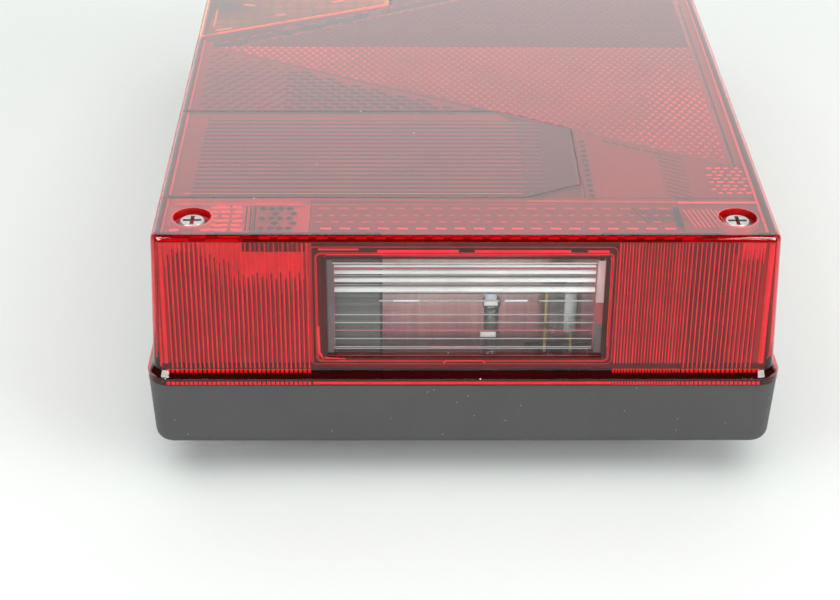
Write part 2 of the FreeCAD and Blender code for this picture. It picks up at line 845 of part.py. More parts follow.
# ---------- number plate lamp: capless bulb standing in a plastic socket ----------
socket = cut(
    box(("plate_x-7", "plate_x+7"), ("plate_y-4.2", "plate_y+4.2"), (STRIP, 17.5)),
    box(("plate_x-5.1", "plate_x+5.1"), ("plate_y-2.6", "plate_y+2.6"), (13.4, 18)),
)
node(socket, "plate_bulb_socket")
bulb = fuse(
    [
        box(("plate_x-4.8", "plate_x+4.8"), ("plate_y-2.2", "plate_y+2.2"), (13.6, 24.5)),
        cone(2.2, 4.9, 2.6, ("plate_x", "plate_y", 22.6)),
        cyl(4.9, 11.4, ("plate_x", "plate_y", 25.2)),
        ball(4.9, ("plate_x", "plate_y", 36.6)),
    ]
)
hollow = fuse(
    [
        cyl(4.3, 10.8, ("plate_x", "plate_y", 25.8)),
        ball(4.3, ("plate_x", "plate_y", 36.6)),
        cyl(0.42, 13, ("plate_x-2.9", "plate_y", 13)),
        cyl(0.42, 13, ("plate_x+2.9", "plate_y", 13)),
    ]
)
node(cut(bulb, hollow), "plate_bulb_glass")
wires = [
    cyl(0.32, 20.6, ("plate_x-2.9", "plate_y", 13.6)),
    cyl(0.32, 20.6, ("plate_x+2.9", "plate_y", 13.6)),
    cyl(0.42, 6.4, ("plate_x-3.2", "plate_y", 34.0), "x"),
]
node(fuse(wires), "plate_bulb_filament")
post = fuse(
    [
        cyl(2.1, 10.0, (6.2, "plate_y", STRIP)),
        cyl(1.7, 9.0, (6.2, "plate_y", 22.0)),
        ball(2.1, (6.2, "plate_y", 30.6)),
    ]
)
node(post, "carrier_rivet_post")

# ---------- lens shell, split into its red, amber and fog segments ----------
lb = body("LensShell")
pad(
    lb,
    rounded(sketch(lb, "foot_high"), "foot_half", "foot_half" + LONG, "corner+0.3"),
    "depth_all-foot_high",
)
drafted(lb, "depth_all-foot_high", "foot_half-top_half", "foot_high", False)
fillet(lb, 1.5, level(D["depth_all"]))
pad(
    lb,
    rounded(sketch(lb, "base_top"), "width_all/2", "length_all/2", "corner+1.7"),
    "flange_high-base_top",
)
loft(
    lb,
    rounded(sketch(lb, "flange_high"), "width_all/2-0.4", "length_all/2-0.4", "corner+1.4"),
    rounded(sketch(lb, "foot_high"), "foot_half", "foot_half" + LONG, "corner+0.3"),
)
pocket(
    lb,
    rounded(sketch(lb, "flange_high+0.1"), "lip_half", "lip_half" + LONG, 1.4),
    "flange_high-base_top+0.5",
)
hollow = body("LensHollow")
pad(
    hollow,
    rounded(
        sketch(hollow, "flange_high"), "foot_half-lens_wall", "foot_half-lens_wall" + LONG, 1.4
    ),
    "depth_all-lens_wall-flange_high",
)
drafted(hollow, "depth_all-foot_high", "foot_half-top_half", "flange_high", False)
wells, drills = [], []
for sx in ("", "-"):
    for sy in ("", "-"):
        x, y = sx + "screw_x", sy + "screw_y"
        wells.append(cyl("well_rad+1.15", "depth_all-lens_wall-boss_high+0.5", (x, y, "boss_high")))
        drills.append(cyl("well_rad", "depth_all-well_floor+1", (x, y, "well_floor")))
        drills.append(cyl("shank_rad+0.2", "well_floor-boss_high+2", (x, y, "boss_high-1")))
shell = cut(fuse([cut(lb, hollow)] + wells), fuse(drills), "WholeLens")


def zone(name, points, low_z):
    """A prism that takes one segment out of the shell."""
    z = body(name)
    pad(z, polygon(sketch(z, low_z), points), 40.0)
    return z


amber_line = [
    (-75.0, -10.86),
    ("amber_x", 16.2),
    ("amber_x", 99.0),
    (-75.0, 99.0),
]
amber_line_in = [
    (-75.0, -10.74),
    ("amber_x-seam", 16.3),
    ("amber_x-seam", 98.9),
    (-75.0, 98.9),
]
fog_line = [
    (-75.0, -99.0),
    (13.5, -99.0),
    (26.4, -92.4),
    (26.4, -63.2),
    (10.4, -53.8),
    (-75.0, -53.8),
]
fog_line_in = [
    (-75.0, -98.9),
    (13.45, -98.9),
    (26.3, -92.3),
    (26.3, -63.3),
    (10.35, -53.9),
    (-75.0, -53.9),
]
opening = box(
    ("-window_half-0.08", "window_half+0.08"), (-125, -110), ("window_low-0.08", "window_high+0.08")
)
outside = fuse([zone("AmberCut", amber_line, 21.0), zone("FogCut", fog_line, 21.0), opening])
node(cut(shell, outside), "main_lens")
node(common(shell, zone("AmberZone", amber_line_in, 21.1)), "amber_lens")
node(common(shell, zone("FogZone", fog_line_in, 21.1)), "fog_lens")

# number plate window: clear, with a raised rim and flutes moulded across its inner face
frame = box(("-window_half", "window_half"), (-117.4, -115.4), ("window_low", "window_high"))
dished = box(
    ("-window_half+1.2", "window_half-1.2"), (-119, -116.7), ("window_low+1", "window_high-1")
)
flutes = []
pitch = (D["window_high"] - D["window_low"] - 2.4) / 10
for i in range(10):
    zc = D["window_low"] + 1.2 + pitch * (i + 0.5)
    f = cyl(pitch * 0.54, "2*window_half-2.6", ("-window_half+1.3", -115.2, zc), "x")
    flutes.append(f)
flutes = common(
    fuse(flutes),
    box(("-window_half+1", "window_half-1"), (-116.3, -112), ("window_low+0.5", "window_high-0.5")),
)
node(fuse([cut(frame, dished), flutes]), "plate_window")

# triangular reflex reflector plate under the lens face
tb = body("TriangleReflector")
half = "(tri_base-tri_apex)*0.57735"
s = sketch(tb, "depth_all-lens_wall-2.3")
polygon(
    s,
    [
        ("tri_apex+1.5", "tri_mid+0.9"),
        ("tri_apex+1.5", "tri_mid-0.9"),
        ("tri_base-2", "tri_mid-%s+1.2" % half),
        ("tri_base", "tri_mid-%s+3.2" % half),
        ("tri_base", "tri_mid+%s-3.2" % half),
        ("tri_base-2", "tri_mid+%s-1.2" % half),
    ],
)
pad(tb, s, 2.3)
node(tb, "triangle_reflector")

# ---------- lens screws and their washers ----------
spots = [("near_left", "-", "-"), ("near_right", "", "-"), ("far_left", "-", ""), ("far_right", "", "")]
for name, sx, sy in spots:
    x, y = sx + "screw_x", sy + "screw_y"
    node(ring("well_rad-0.25", "shank_rad+0.2", 0.8, (x, y, "well_floor")), "screw_washer_" + name)
    head = fuse(
        [
            cyl("head_rad", 1.3, (x, y, "well_floor+0.8")),
            cone("head_rad", "head_rad-1.1", 1.1, (x, y, "well_floor+2.1")),
            cyl("shank_rad", "well_floor+0.8-screw_tip-1.5", (x, y, "screw_tip+1.5")),
            cone(0.6, "shank_rad", 1.5, (x, y, "screw_tip")),
        ]
    )
    cx, cy = num(x), num(y)
    cross = fuse(
        [
            box((x + "-2", x + "+2"), (y + "-0.42", y + "+0.42"), ("well_floor+1.6", 60)),
            box((x + "-0.42", x + "+0.42"), (y + "-2", y + "+2"), ("well_floor+1.6", 60)),
        ]
    )
    node(cut(head, cross), "lens_screw_" + name)

# ---------- check everything, then write one STEP per node ----------
doc.recompute()
bad = [o.Name for o in doc.Objects if "Invalid" in o.State or "Error" in o.State]
if bad:
    raise SystemExit("failed objects: %s" % bad)
for label, obj in NODES:
    shp = obj.Shape
    if shp.isNull() or not shp.isValid() or not shp.Solids:
        raise SystemExit("bad shape: " + label)
os.makedirs("parts", exist_ok=True)
for label, obj in NODES:
    obj.Shape.exportStep("parts/%s.step" % label)
    b = obj.Shape.BoundBox
    print(
        "%-26s solids %d vol %9.1f  x %.1f..%.1f y %.1f..%.1f z %.1f..%.1f"
        % (label, len(obj.Shape.Solids), obj.Shape.Volume, b.XMin, b.XMax, b.YMin, b.YMax, b.ZMin, b.ZMax)
    )
print(len(NODES), "nodes")
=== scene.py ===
"""Trailer tail light with number plate lamp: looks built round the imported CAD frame, in metres."""
import bpy, bmesh, math, json, random
import numpy as np
from mathutils import Vector, Matrix


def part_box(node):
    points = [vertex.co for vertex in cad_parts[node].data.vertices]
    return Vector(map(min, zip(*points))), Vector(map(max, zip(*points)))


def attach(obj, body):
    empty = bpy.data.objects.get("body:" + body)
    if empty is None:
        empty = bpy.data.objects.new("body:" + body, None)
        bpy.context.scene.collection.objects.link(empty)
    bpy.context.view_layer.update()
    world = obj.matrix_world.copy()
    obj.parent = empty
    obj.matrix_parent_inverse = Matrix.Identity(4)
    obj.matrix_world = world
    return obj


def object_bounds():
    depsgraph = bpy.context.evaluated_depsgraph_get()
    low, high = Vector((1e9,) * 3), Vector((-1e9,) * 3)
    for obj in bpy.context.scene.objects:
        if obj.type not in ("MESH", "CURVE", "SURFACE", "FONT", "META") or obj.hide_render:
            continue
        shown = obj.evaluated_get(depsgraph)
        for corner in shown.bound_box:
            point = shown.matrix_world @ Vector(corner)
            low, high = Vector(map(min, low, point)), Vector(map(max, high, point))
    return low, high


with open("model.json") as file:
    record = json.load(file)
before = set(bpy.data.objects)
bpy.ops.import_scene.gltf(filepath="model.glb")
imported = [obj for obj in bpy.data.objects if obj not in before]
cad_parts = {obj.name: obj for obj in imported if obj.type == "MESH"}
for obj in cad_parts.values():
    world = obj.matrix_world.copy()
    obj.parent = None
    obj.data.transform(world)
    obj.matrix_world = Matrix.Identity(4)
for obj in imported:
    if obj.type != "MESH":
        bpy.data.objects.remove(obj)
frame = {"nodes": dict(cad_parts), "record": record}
cad_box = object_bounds()
rng = random.Random(7)
MM = 0.001

# =====================================================================================
# materials
# =====================================================================================


def new_material(name):
    m = bpy.data.materials.new(name)
    m.use_nodes = True
    nt = m.node_tree
    nt.nodes.clear()
    out = nt.nodes.new("ShaderNodeOutputMaterial")
    return m, nt, out


def coords(nt):
    return nt.nodes.new("ShaderNodeTexCoord").outputs["Object"]


def noise(nt, scale, detail=3.0, rough=0.5, stretch=None):
    n = nt.nodes.new("ShaderNodeTexNoise")
    n.inputs["Scale"].default_value = scale
    n.inputs["Detail"].default_value = detail
    n.inputs["Roughness"].default_value = rough
    src = coords(nt)
    if stretch:
        mp = nt.nodes.new("ShaderNodeMapping")
        mp.inputs["Scale"].default_value = stretch
        nt.links.new(src, mp.inputs["Vector"])
        src = mp.outputs["Vector"]
    nt.links.new(src, n.inputs["Vector"])
    return n


def ramp(nt, src, stops):
    r = nt.nodes.new("ShaderNodeValToRGB")
    el = r.color_ramp.elements
    while len(el) < len(stops):
        el.new(0.5)
    for e, (pos, col) in zip(el, stops):
        e.position = pos
        e.color = tuple(col) + (1.0,) if len(col) == 3 else col
    nt.links.new(src, r.inputs["Fac"])
    return r


def bump(nt, src, target, strength, distance):
    b = nt.nodes.new("ShaderNodeBump")
    b.inputs["Strength"].default_value = strength
    b.inputs["Distance"].default_value = distance
    nt.links.new(src, b.inputs["Height"])
    nt.links.new(b.outputs["Normal"], target.inputs["Normal"])
    return b


def shade(col, k):
    return tuple(min(1.0, c * k) for c in col)


def specks(nt, scale, radius, share):
    """1 on scattered round dust specks, 0 elsewhere."""
    v = nt.nodes.new("ShaderNodeTexVoronoi")
    v.inputs["Scale"].default_value = scale
    nt.links.new(coords(nt), v.inputs["Vector"])
    near = nt.nodes.new("ShaderNodeMath")
    near.operation = "LESS_THAN"
    near.inputs[1].default_value = radius
    nt.links.new(v.outputs["Distance"], near.inputs[0])
    sep = nt.nodes.new("ShaderNodeSeparateColor")
    nt.links.new(v.outputs["Color"], sep.inputs["Color"])
    some = nt.nodes.new("ShaderNodeMath")
    some.operation = "LESS_THAN"
    some.inputs[1].default_value = share
    nt.links.new(sep.outputs[0], some.inputs[0])
    both = nt.nodes.new("ShaderNodeMath")
    both.operation = "MULTIPLY"
    nt.links.new(near.outputs[0], both.inputs[0])
    nt.links.new(some.outputs[0], both.inputs[1])
    return both.outputs[0]


def solid(
    name, col, rough=0.4, metallic=0.0, vary=0.12, vary_scale=60, grain=2500, grain_strength=0.2,
    grain_depth=0.00004, coat=0.0, dust=0.0, stretch=None, rough_vary=0.08, spec=0.5,
):
    """An opaque plastic, metal or rubber: colour that drifts a little, grain in its surface, uneven gloss."""
    m, nt, out = new_material(name)
    b = nt.nodes.new("ShaderNodeBsdfPrincipled")
    nt.links.new(b.outputs[0], out.inputs["Surface"])
    b.inputs["Metallic"].default_value = metallic
    b.inputs["Specular IOR Level"].default_value = spec
    b.inputs["Coat Weight"].default_value = coat
    b.inputs["Coat Roughness"].default_value = 0.08
    big = noise(nt, vary_scale, 4.0, 0.55, stretch)
    r = ramp(nt, big.outputs["Fac"], [(0.3, shade(col, 1 - vary)), (0.7, shade(col, 1 + vary))])
    colour = r.outputs["Color"]
    if dust:
        mx = nt.nodes.new("ShaderNodeMix")
        mx.data_type = "RGBA"
        nt.links.new(specks(nt, 430, 0.055, dust), mx.inputs["Factor"])
        nt.links.new(colour, mx.inputs[6])
        mx.inputs[7].default_value = (0.30, 0.30, 0.30, 1)
        colour = mx.outputs[2]
    nt.links.new(colour, b.inputs["Base Color"])
    rr = ramp(
        nt, noise(nt, vary_scale * 3, 3.0).outputs["Fac"],
        [(0.3, (max(0.02, rough - rough_vary),) * 3), (0.7, (rough + rough_vary,) * 3)],
    )
    nt.links.new(rr.outputs["Color"], b.inputs["Roughness"])
    fine = noise(nt, grain, 2.0, 0.5, stretch)
    bump(nt, fine.outputs["Fac"], b, grain_strength, grain_depth)
    return m


def schlick(nt, f0, normal=None):
    lw = nt.nodes.new("ShaderNodeLayerWeight")
    lw.inputs["Blend"].default_value = 0.5
    if normal is not None:
        nt.links.new(normal, lw.inputs["Normal"])
    p = nt.nodes.new("ShaderNodeMath")
    p.operation = "POWER"
    p.inputs[1].default_value = 5.0
    nt.links.new(lw.outputs["Facing"], p.inputs[0])
    ma = nt.nodes.new("ShaderNodeMath")
    ma.operation = "MULTIPLY_ADD"
    ma.inputs[1].default_value = 1.0 - f0
    ma.inputs[2].default_value = f0
    nt.links.new(p.outputs[0], ma.inputs[0])
    return ma.outputs[0]


def clear(name, tint, rough=0.03, f0=0.042, dust=0.0, wave=0.0, haze=0.0, haze_col=(0.8, 0.8, 0.8)):
    """Clear or tinted moulded plastic or glass: lets light straight through, tinted, and mirrors by Fresnel."""
    m, nt, out = new_material(name)
    tr = nt.nodes.new("ShaderNodeBsdfTransparent")
    tr.inputs["Color"].default_value = tuple(tint) + (1,)
    gl = nt.nodes.new("ShaderNodeBsdfGlossy")
    gl.inputs["Color"].default_value = (1, 1, 1, 1)
    gl.inputs["Roughness"].default_value = rough
    normal = None
    if wave:
        n = noise(nt, 45, 2.0, 0.4)
        bp = bump(nt, n.outputs["Fac"], gl, wave, 0.0004)
        normal = bp.outputs["Normal"]
    mix = nt.nodes.new("ShaderNodeMixShader")
    nt.links.new(schlick(nt, f0, normal), mix.inputs["Fac"])
    base = tr.outputs[0]
    if haze or dust:
        df = nt.nodes.new("ShaderNodeBsdfDiffuse")
        df.inputs["Color"].default_value = tuple(haze_col) + (1,)
        hz = nt.nodes.new("ShaderNodeMixShader")
        if dust:
            add = nt.nodes.new("ShaderNodeMath")
            add.operation = "MAXIMUM"
            add.inputs[1].default_value = haze
            nt.links.new(specks(nt, 150, 0.024, dust), add.inputs[0])
            nt.links.new(add.outputs[0], hz.inputs["Fac"])
        else:
            hz.inputs["Fac"].default_value = haze
        nt.links.new(base, hz.inputs[1])
        nt.links.new(df.outputs[0], hz.inputs[2])
        base = hz.outputs[0]
    nt.links.new(base, mix.inputs[1])
    nt.links.new(gl.outputs[0], mix.inputs[2])
    nt.links.new(mix.outputs[0], out.inputs["Surface"])
    return m


def film(name, tint, haze, col, vary=0.0, vary_scale=200, stretch=None):
    """A thin tinted layer with no mirror of its own: part lets light through, part scatters it."""
    m, nt, out = new_material(name)
    tr = nt.nodes.new("ShaderNodeBsdfTransparent")
    tr.inputs["Color"].default_value = tuple(tint) + (1,)
    df = nt.nodes.new("ShaderNodeBsdfDiffuse")
    n = noise(nt, vary_scale, 3.0, 0.5, stretch)
    r = ramp(nt, n.outputs["Fac"], [(0.32, shade(col, 1 - vary)), (0.68, shade(col, 1 + vary))])
    nt.links.new(r.outputs["Color"], df.inputs["Color"])
    mix = nt.nodes.new("ShaderNodeMixShader")
    mix.inputs["Fac"].default_value = haze
    nt.links.new(tr.outputs[0], mix.inputs[1])
    nt.links.new(df.outputs[0], mix.inputs[2])
    nt.links.new(mix.outputs[0], out.inputs["Surface"])
    return m


def relief(name, col, vary=0.12, vary_scale=150):
    """Moulded detail set in clear plastic, also used for painted highlights, shadows and reflections: no mirror of its
    own.
    """
    return solid(name, col, 0.6, vary=vary, vary_scale=vary_scale, grain=900, grain_strength=0.03, spec=0.0)


def banded(name, stops, streak=0.25):
    """A wall whose colour changes with height, under fine upright streaks."""
    m, nt, out = new_material(name)
    b = nt.nodes.new("ShaderNodeBsdfPrincipled")
    b.inputs["Roughness"].default_value = 0.5
    b.inputs["Specular IOR Level"].default_value = 0.2
    sep = nt.nodes.new("ShaderNodeSeparateXYZ")
    nt.links.new(coords(nt), sep.inputs["Vector"])
    mr = nt.nodes.new("ShaderNodeMapRange")
    mr.inputs["From Min"].default_value = 0.012
    mr.inputs["From Max"].default_value = 0.047
    nt.links.new(sep.outputs["Z"], mr.inputs["Value"])
    r = ramp(nt, mr.outputs["Result"], stops)
    n = noise(nt, 900, 3.0, 0.6, (1.0, 1.0, 0.04))
    k = ramp(nt, n.outputs["Fac"], [(0.35, (1 - streak,) * 3), (0.65, (1.0, 1.0, 1.0))])
    mx = nt.nodes.new("ShaderNodeMix")
    mx.data_type = "RGBA"
    mx.blend_type = "MULTIPLY"
    mx.inputs["Factor"].default_value = 1.0
    nt.links.new(r.outputs["Color"], mx.inputs[6])
    nt.links.new(k.outputs["Color"], mx.inputs[7])
    nt.links.new(mx.outputs[2], b.inputs["Base Color"])
    nt.links.new(b.outputs[0], out.inputs["Surface"])
    return m


RED_TINT = (0.93, 0.30, 0.33)
AMBER_TINT = (0.99, 0.62, 0.22)
MAT = {
    "housing_plastic": solid("housing_plastic", (0.053, 0.0535, 0.054), 0.56, dust=0.6, vary=0.05, grain=3800, grain_strength=0.35),
    "carrier_plastic": solid("carrier_plastic", (0.05, 0.05, 0.051), 0.55, vary=0.1, spec=0.3),
    "reflector_plastic": solid("reflector_plastic", (0.10, 0.098, 0.096), 0.35, vary=0.08, spec=0.4),
    "insulator_plastic": solid("insulator_plastic", (0.30, 0.28, 0.22), 0.5, vary=0.08),
    "socket_plastic": solid("socket_plastic", (0.028, 0.028, 0.03), 0.5, vary=0.1, grain=3000),
    "red_lens": clear("red_lens", RED_TINT, rough=0.02, dust=0.6),
    "fog_red": clear("fog_red", (0.92, 0.30, 0.33), rough=0.02, dust=0.6, haze=0.015),
    "amber": clear("amber", AMBER_TINT, rough=0.02, dust=0.5),
    "clear_window": clear("clear_window", (0.97, 0.975, 0.97), rough=0.04, dust=0.5, haze=0.01),
    "reflex_red": solid("reflex_red", (0.12, 0.008, 0.011), 0.5, vary=0.15, vary_scale=40, spec=0.05),
    "gasket_rubber": solid("gasket_rubber", (0.022, 0.022, 0.023), 0.7, vary=0.15, grain=1800),
    "zinc_steel": solid("zinc_steel", (0.29, 0.29, 0.285), 0.45, 1.0, vary=0.12, vary_scale=500, grain=1500, grain_strength=0.25, rough_vary=0.1),
    "contact_brass": solid("contact_brass", (0.50, 0.36, 0.15), 0.4, 1.0, vary=0.12, vary_scale=90),
    "tinned_brass": solid("tinned_brass", (0.52, 0.49, 0.42), 0.36, 1.0, vary=0.1, vary_scale=200),
    "holder_steel": solid("holder_steel", (0.45, 0.45, 0.44), 0.4, 1.0, vary=0.08, vary_scale=120),
    "spring_steel": solid("spring_steel", (0.45, 0.45, 0.46), 0.36, 1.0, vary=0.08, vary_scale=200),
    "bulb_glass": clear("bulb_glass", (0.985, 0.988, 0.986), rough=0.01, f0=0.05),
    "bulb_mount": solid("bulb_mount", (0.50, 0.46, 0.40), 0.4, 1.0, vary=0.1, vary_scale=300),
    "bulb_wire": solid("bulb_wire", (1.0, 0.66, 0.26), 0.35, 0.0, vary=0.08, vary_scale=300),
    # moulded detail in the lens, with painted light set among it: the bluish, white and flute colours are painted
    # highlights, the near-black ledge colour is a painted dark reflection, and brown and dark also serve as painted
    # shade
    "hi": relief("optic_bright", (0.98, 0.13, 0.17)),
    "mid": relief("optic_mid", (0.52, 0.05, 0.07)),
    "low": relief("optic_low", (0.20, 0.014, 0.02)),
    "dark": relief("dark_optic_and_painted_shadow", (0.035, 0.006, 0.007)),
    "brown": relief("brown_optic_and_painted_shade", (0.10, 0.008, 0.010), vary=0.2),
    "bluish": relief("painted_bluish_highlight", (0.66, 0.74, 0.88), vary=0.2, vary_scale=500),
    "white": relief("painted_white_highlight", (0.97, 0.97, 0.96), vary=0.03),
    "flute": relief("flute_painted_highlight", (0.86, 0.865, 0.86), vary=0.22, vary_scale=45),
    "gold_wire": relief("gold_wire", (1.0, 0.66, 0.26), vary=0.1),
    "grey": relief("optic_grey", (0.42, 0.42, 0.42), vary=0.1),
    "slate": relief("optic_slate", (0.12, 0.12, 0.12), vary=0.1),
    "rosy": relief("optic_rosy", (0.52, 0.43, 0.44), vary=0.15),
    "ruby": relief("optic_ruby", (0.50, 0.12, 0.15), vary=0.15),
    "plum": relief("optic_plum", (0.32, 0.085, 0.095), vary=0.2),
    "fog_line": relief("optic_fog_line", (0.29, 0.031, 0.040), vary=0.15, vary_scale=60),
    "dot_hi": relief("prism_painted_light", (0.68, 0.085, 0.12), vary=0.2, vary_scale=60),
    "dot_mid": relief("prism_mid", (0.52, 0.055, 0.08), vary=0.2, vary_scale=60),
    "sheet_pink": film("sheet_pink", (0.6, 0.10, 0.12), 0.42, (0.62, 0.05, 0.07), vary=0.1, vary_scale=60),
    "sheet_near": film("sheet_near", (0.5, 0.08, 0.10), 0.55, (0.60, 0.05, 0.07), vary=0.12, vary_scale=45),
    "sheet_low": film("sheet_low", (0.6, 0.10, 0.12), 0.33, (0.32, 0.024, 0.034), vary=0.1, vary_scale=60),
    "sheet_hot": film("sheet_hot", (0.5, 0.08, 0.10), 0.75, (0.80, 0.075, 0.10), vary=0.3, vary_scale=160),
    "sheet_warm": film("sheet_warm", (0.5, 0.08, 0.10), 0.65, (0.70, 0.06, 0.085), vary=0.2, vary_scale=90),
    "sheet_wall": film("sheet_wall", (0.5, 0.08, 0.10), 0.75, (0.56, 0.05, 0.075), vary=0.12, vary_scale=120, stretch=(1, 1, 0.2)),
    "sheet_dim": film("sheet_dim", (0.5, 0.08, 0.10), 0.6, (0.30, 0.024, 0.034), vary=0.12, vary_scale=120, stretch=(1, 1, 0.2)),
    "sheet_amber": film("sheet_amber", (0.8, 0.4, 0.1), 0.50, (0.33, 0.105, 0.002), vary=0.8, vary_scale=42, stretch=(0.55, 1.0, 1.0)),
    "amber_edge": relief("amber_edge", (1.0, 0.36, 0.002), vary=0.2, vary_scale=30),
    "amber_glint": film("amber_glint", (0.9, 0.5, 0.1), 0.5, (0.90, 0.36, 0.05), vary=0.25, vary_scale=60),
    "well_red": solid("well_red", (0.50, 0.011, 0.02), 0.35, vary=0.45, vary_scale=180, spec=0.3),
    "edge_red": relief("edge_red", (0.31, 0.004, 0.009), vary=0.2, vary_scale=120),
    "tooth_red": relief("tooth_red", (0.95, 0.03, 0.05), vary=0.2, vary_scale=300),
    "edge_deep": relief("edge_deep", (0.13, 0.003, 0.005), vary=0.25, vary_scale=120),
    "edge_hi": relief("edge_hi", (0.60, 0.014, 0.026), vary=0.2, vary_scale=160),
    "rib_hi": relief("rib_hi", (0.77, 0.077, 0.12), vary=0.15),
    "rib_gap": relief("rib_gap", (0.17, 0.022, 0.027), vary=0.2),
    "ledge_dark_reflection_paint": relief("ledge_dark_reflection_paint", (0.030, 0.004, 0.003), vary=0.3, vary_scale=80),
    # bulkhead: its colour, darker low down and pink higher up, with upright streaks, is painted red light falling in
    # through the lens
    "bulkhead": banded("bulkhead", [(0.0, (0.32, 0.26, 0.26)), (0.15, (0.38, 0.28, 0.28)), (0.22, (1.0, 0.50, 0.53)), (0.40, (1.0, 0.58, 0.60)), (0.50, (0.95, 0.76, 0.77)), (0.75, (0.85, 0.80, 0.80)), (1.0, (0.75, 0.73, 0.73))], streak=0.2),
    "side_wall": banded("side_wall", [(0.0, (0.10, 0.10, 0.10)), (0.5, (0.14, 0.14, 0.138)), (1.0, (0.11, 0.11, 0.11))], streak=0.12),
}

slot_of = {s["node"]: s["material_slot"] for s in frame["record"]["subparts"]}
for node_name, ob in frame["nodes"].items():
    mat = MAT[slot_of[node_name]]
    if ob.material_slots:
        for s in ob.material_slots:
            s.material = mat
    else:
        ob.data.materials.append(mat)

# =====================================================================================
# mesh helpers
# =====================================================================================


def piece(name, verts, faces, mat, body="lens_cover", slot="red_lens", smooth=False, unit=MM):
    me = bpy.data.meshes.new(name)
    me.from_pydata([tuple(c * unit for c in v) for v in verts], [], faces)
    me.update()
    me.polygons.foreach_set("use_smooth", [smooth] * len(me.polygons))
    me.materials.append(MAT[mat])
    ob = bpy.data.objects.new(name, me)
    bpy.context.scene.collection.objects.link(ob)
    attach(ob, body)
    return ob


class Build:
    """Collects many small closed solids into one mesh."""

    def __init__(self):
        self.v, self.f = [], []

    def add(self, verts, faces):
        n = len(self.v)
        self.v += [tuple(p) for p in verts]
        self.f += [tuple(i + n for i in f) for f in faces]

    def bar(self, p, q, r, up=(0, 0, 1), seg=4, flat=1.0, end=1.0):
        """A half-round bar from p to q that bulges towards up, with its flat on the line p-q."""
        p, q, up = Vector(p), Vector(q), Vector(up)
        d = (q - p).normalized()
        side = d.cross(up).normalized()
        up = side.cross(d).normalized()
        ring = [
            side * (r * math.cos(a)) + up * (r * flat * math.sin(a))
            for a in (math.pi * i / seg for i in range(seg + 1))
        ]
        n = len(ring)
        verts = [p + c for c in ring] + [q + c * end for c in ring]
        faces = [(i, i + 1, n + i + 1, n + i) for i in range(n - 1)]
        faces += [(n - 1, 0, n, 2 * n - 1), tuple(range(n - 1, -1, -1)), tuple(range(n, 2 * n))]
        self.add(verts, faces)

    def pillow(self, c, u, v, up, hu, hv, h, grid=3):
        """A crowned rectangular pad: centre c, half sizes hu and hv along u and v, height h along up."""
        c, u, v, up = Vector(c), Vector(u), Vector(v), Vector(up)
        verts, faces = [], []
        n = grid + 1
        for j in range(n):
            for i in range(n):
                s, t = -1 + 2 * i / grid, -1 + 2 * j / grid
                k = (1 - s ** 4) * (1 - t ** 4) * 0.75 + 0.25 * (1 - s * s) * (1 - t * t)
                verts.append(c + u * (hu * s) + v * (hv * t) + up * (h * (0.25 + 0.75 * k)))
        for j in range(grid):
            for i in range(grid):
                a = j * n + i
                faces.append((a, a + 1, a + n + 1, a + n))
        rim = [i for i in range(n)] + [j * n + grid for j in range(1, n)]
        rim += [grid * n + i for i in range(grid - 1, -1, -1)] + [j * n for j in range(grid - 1, 0, -1)]
        base = len(verts)
        for i in rim:
            s = verts[i]
            verts.append(s - up * ((s - c).dot(up)))
        m = len(rim)
        for k in range(m):
            a, b = rim[k], rim[(k + 1) % m]
            faces.append((b, a, base + k, base + (k + 1) % m))
        faces.append(tuple(base + k for k in range(m - 1, -1, -1)))
        self.add(verts, faces)

    def dome(self, c, r, h, up=(0, 0, 1), sides=6, turn=0.0):
        """A faceted dome: the outer face of one reflex prism."""
        c, up = Vector(c), Vector(up)
        a = up.orthogonal().normalized()
        b = up.cross(a)
        verts, faces = [], []
        for rr, hh in ((1.0, 0.0), (1.0, 0.35), (0.55, 1.0)):
            for k in range(sides):
                t = turn + 2 * math.pi * k / sides
                verts.append(c + a * (r * rr * math.cos(t)) + b * (r * rr * math.sin(t)) + up * (h * hh))
        for lv in range(2):
            for k in range(sides):
                k2 = (k + 1) % sides
                faces.append((lv * sides + k, lv * sides + k2, (lv + 1) * sides + k2, (lv + 1) * sides + k))
        faces.append(tuple(2 * sides + k for k in range(sides)))
        faces.append(tuple(range(sides - 1, -1, -1)))
        self.add(verts, faces)

    def make(self, name, mat, **kw):
        return piece(name, self.v, self.f, mat, **kw)


def inside(poly, x, y):
    hit = False
    j = len(poly) - 1
    for i in range(len(poly)):
        xi, yi = poly[i]
        xj, yj = poly[j]
        if (yi > y) != (yj > y) and x < (xj - xi) * (y - yi) / (yj - yi) + xi:
            hit = not hit
        j = i
    return hit


def dist_edge(poly, x, y):
    best = 1e9
    for i in range(len(poly)):
        ax, ay = poly[i - 1]
        bx, by = poly[i]
        dx, dy = bx - ax, by - ay
        t = max(0, min(1, ((x - ax) * dx + (y - ay) * dy) / (dx * dx + dy * dy)))
        best = min(best, math.hypot(x - ax - t * dx, y - ay - t * dy))
    return best


# sizes that follow the frame
lo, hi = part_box("main_lens")
FACE = hi.z / MM                      # lens face
INNER = FACE - 2.5                    # underside of the lens face
DECK = INNER - 1.1                    # where the moulded relief stands
FOOT, FOOT_HALF, TOP_HALF = 19.5, 68.65, 67.25
WALL = 2.5


def wall_half(z):
    """Half width of the outside of the lens wall at height z."""
    return FOOT_HALF - (FOOT_HALF - TOP_HALF) * (z - FOOT) / (FACE - FOOT)


WELLS = [(sx * 59.0, sy * 108.0) for sx in (1, -1) for sy in (1, -1)]


def clear_of_wells(x, y, gap=5.9):
    return all(math.hypot(x - a, y - b) > gap for a, b in WELLS)


# =====================================================================================
# moulded relief of the lens face
# =====================================================================================
ZR = FACE - 1.05                      # where relief under the face shows
CAM_HIGH = 189.0


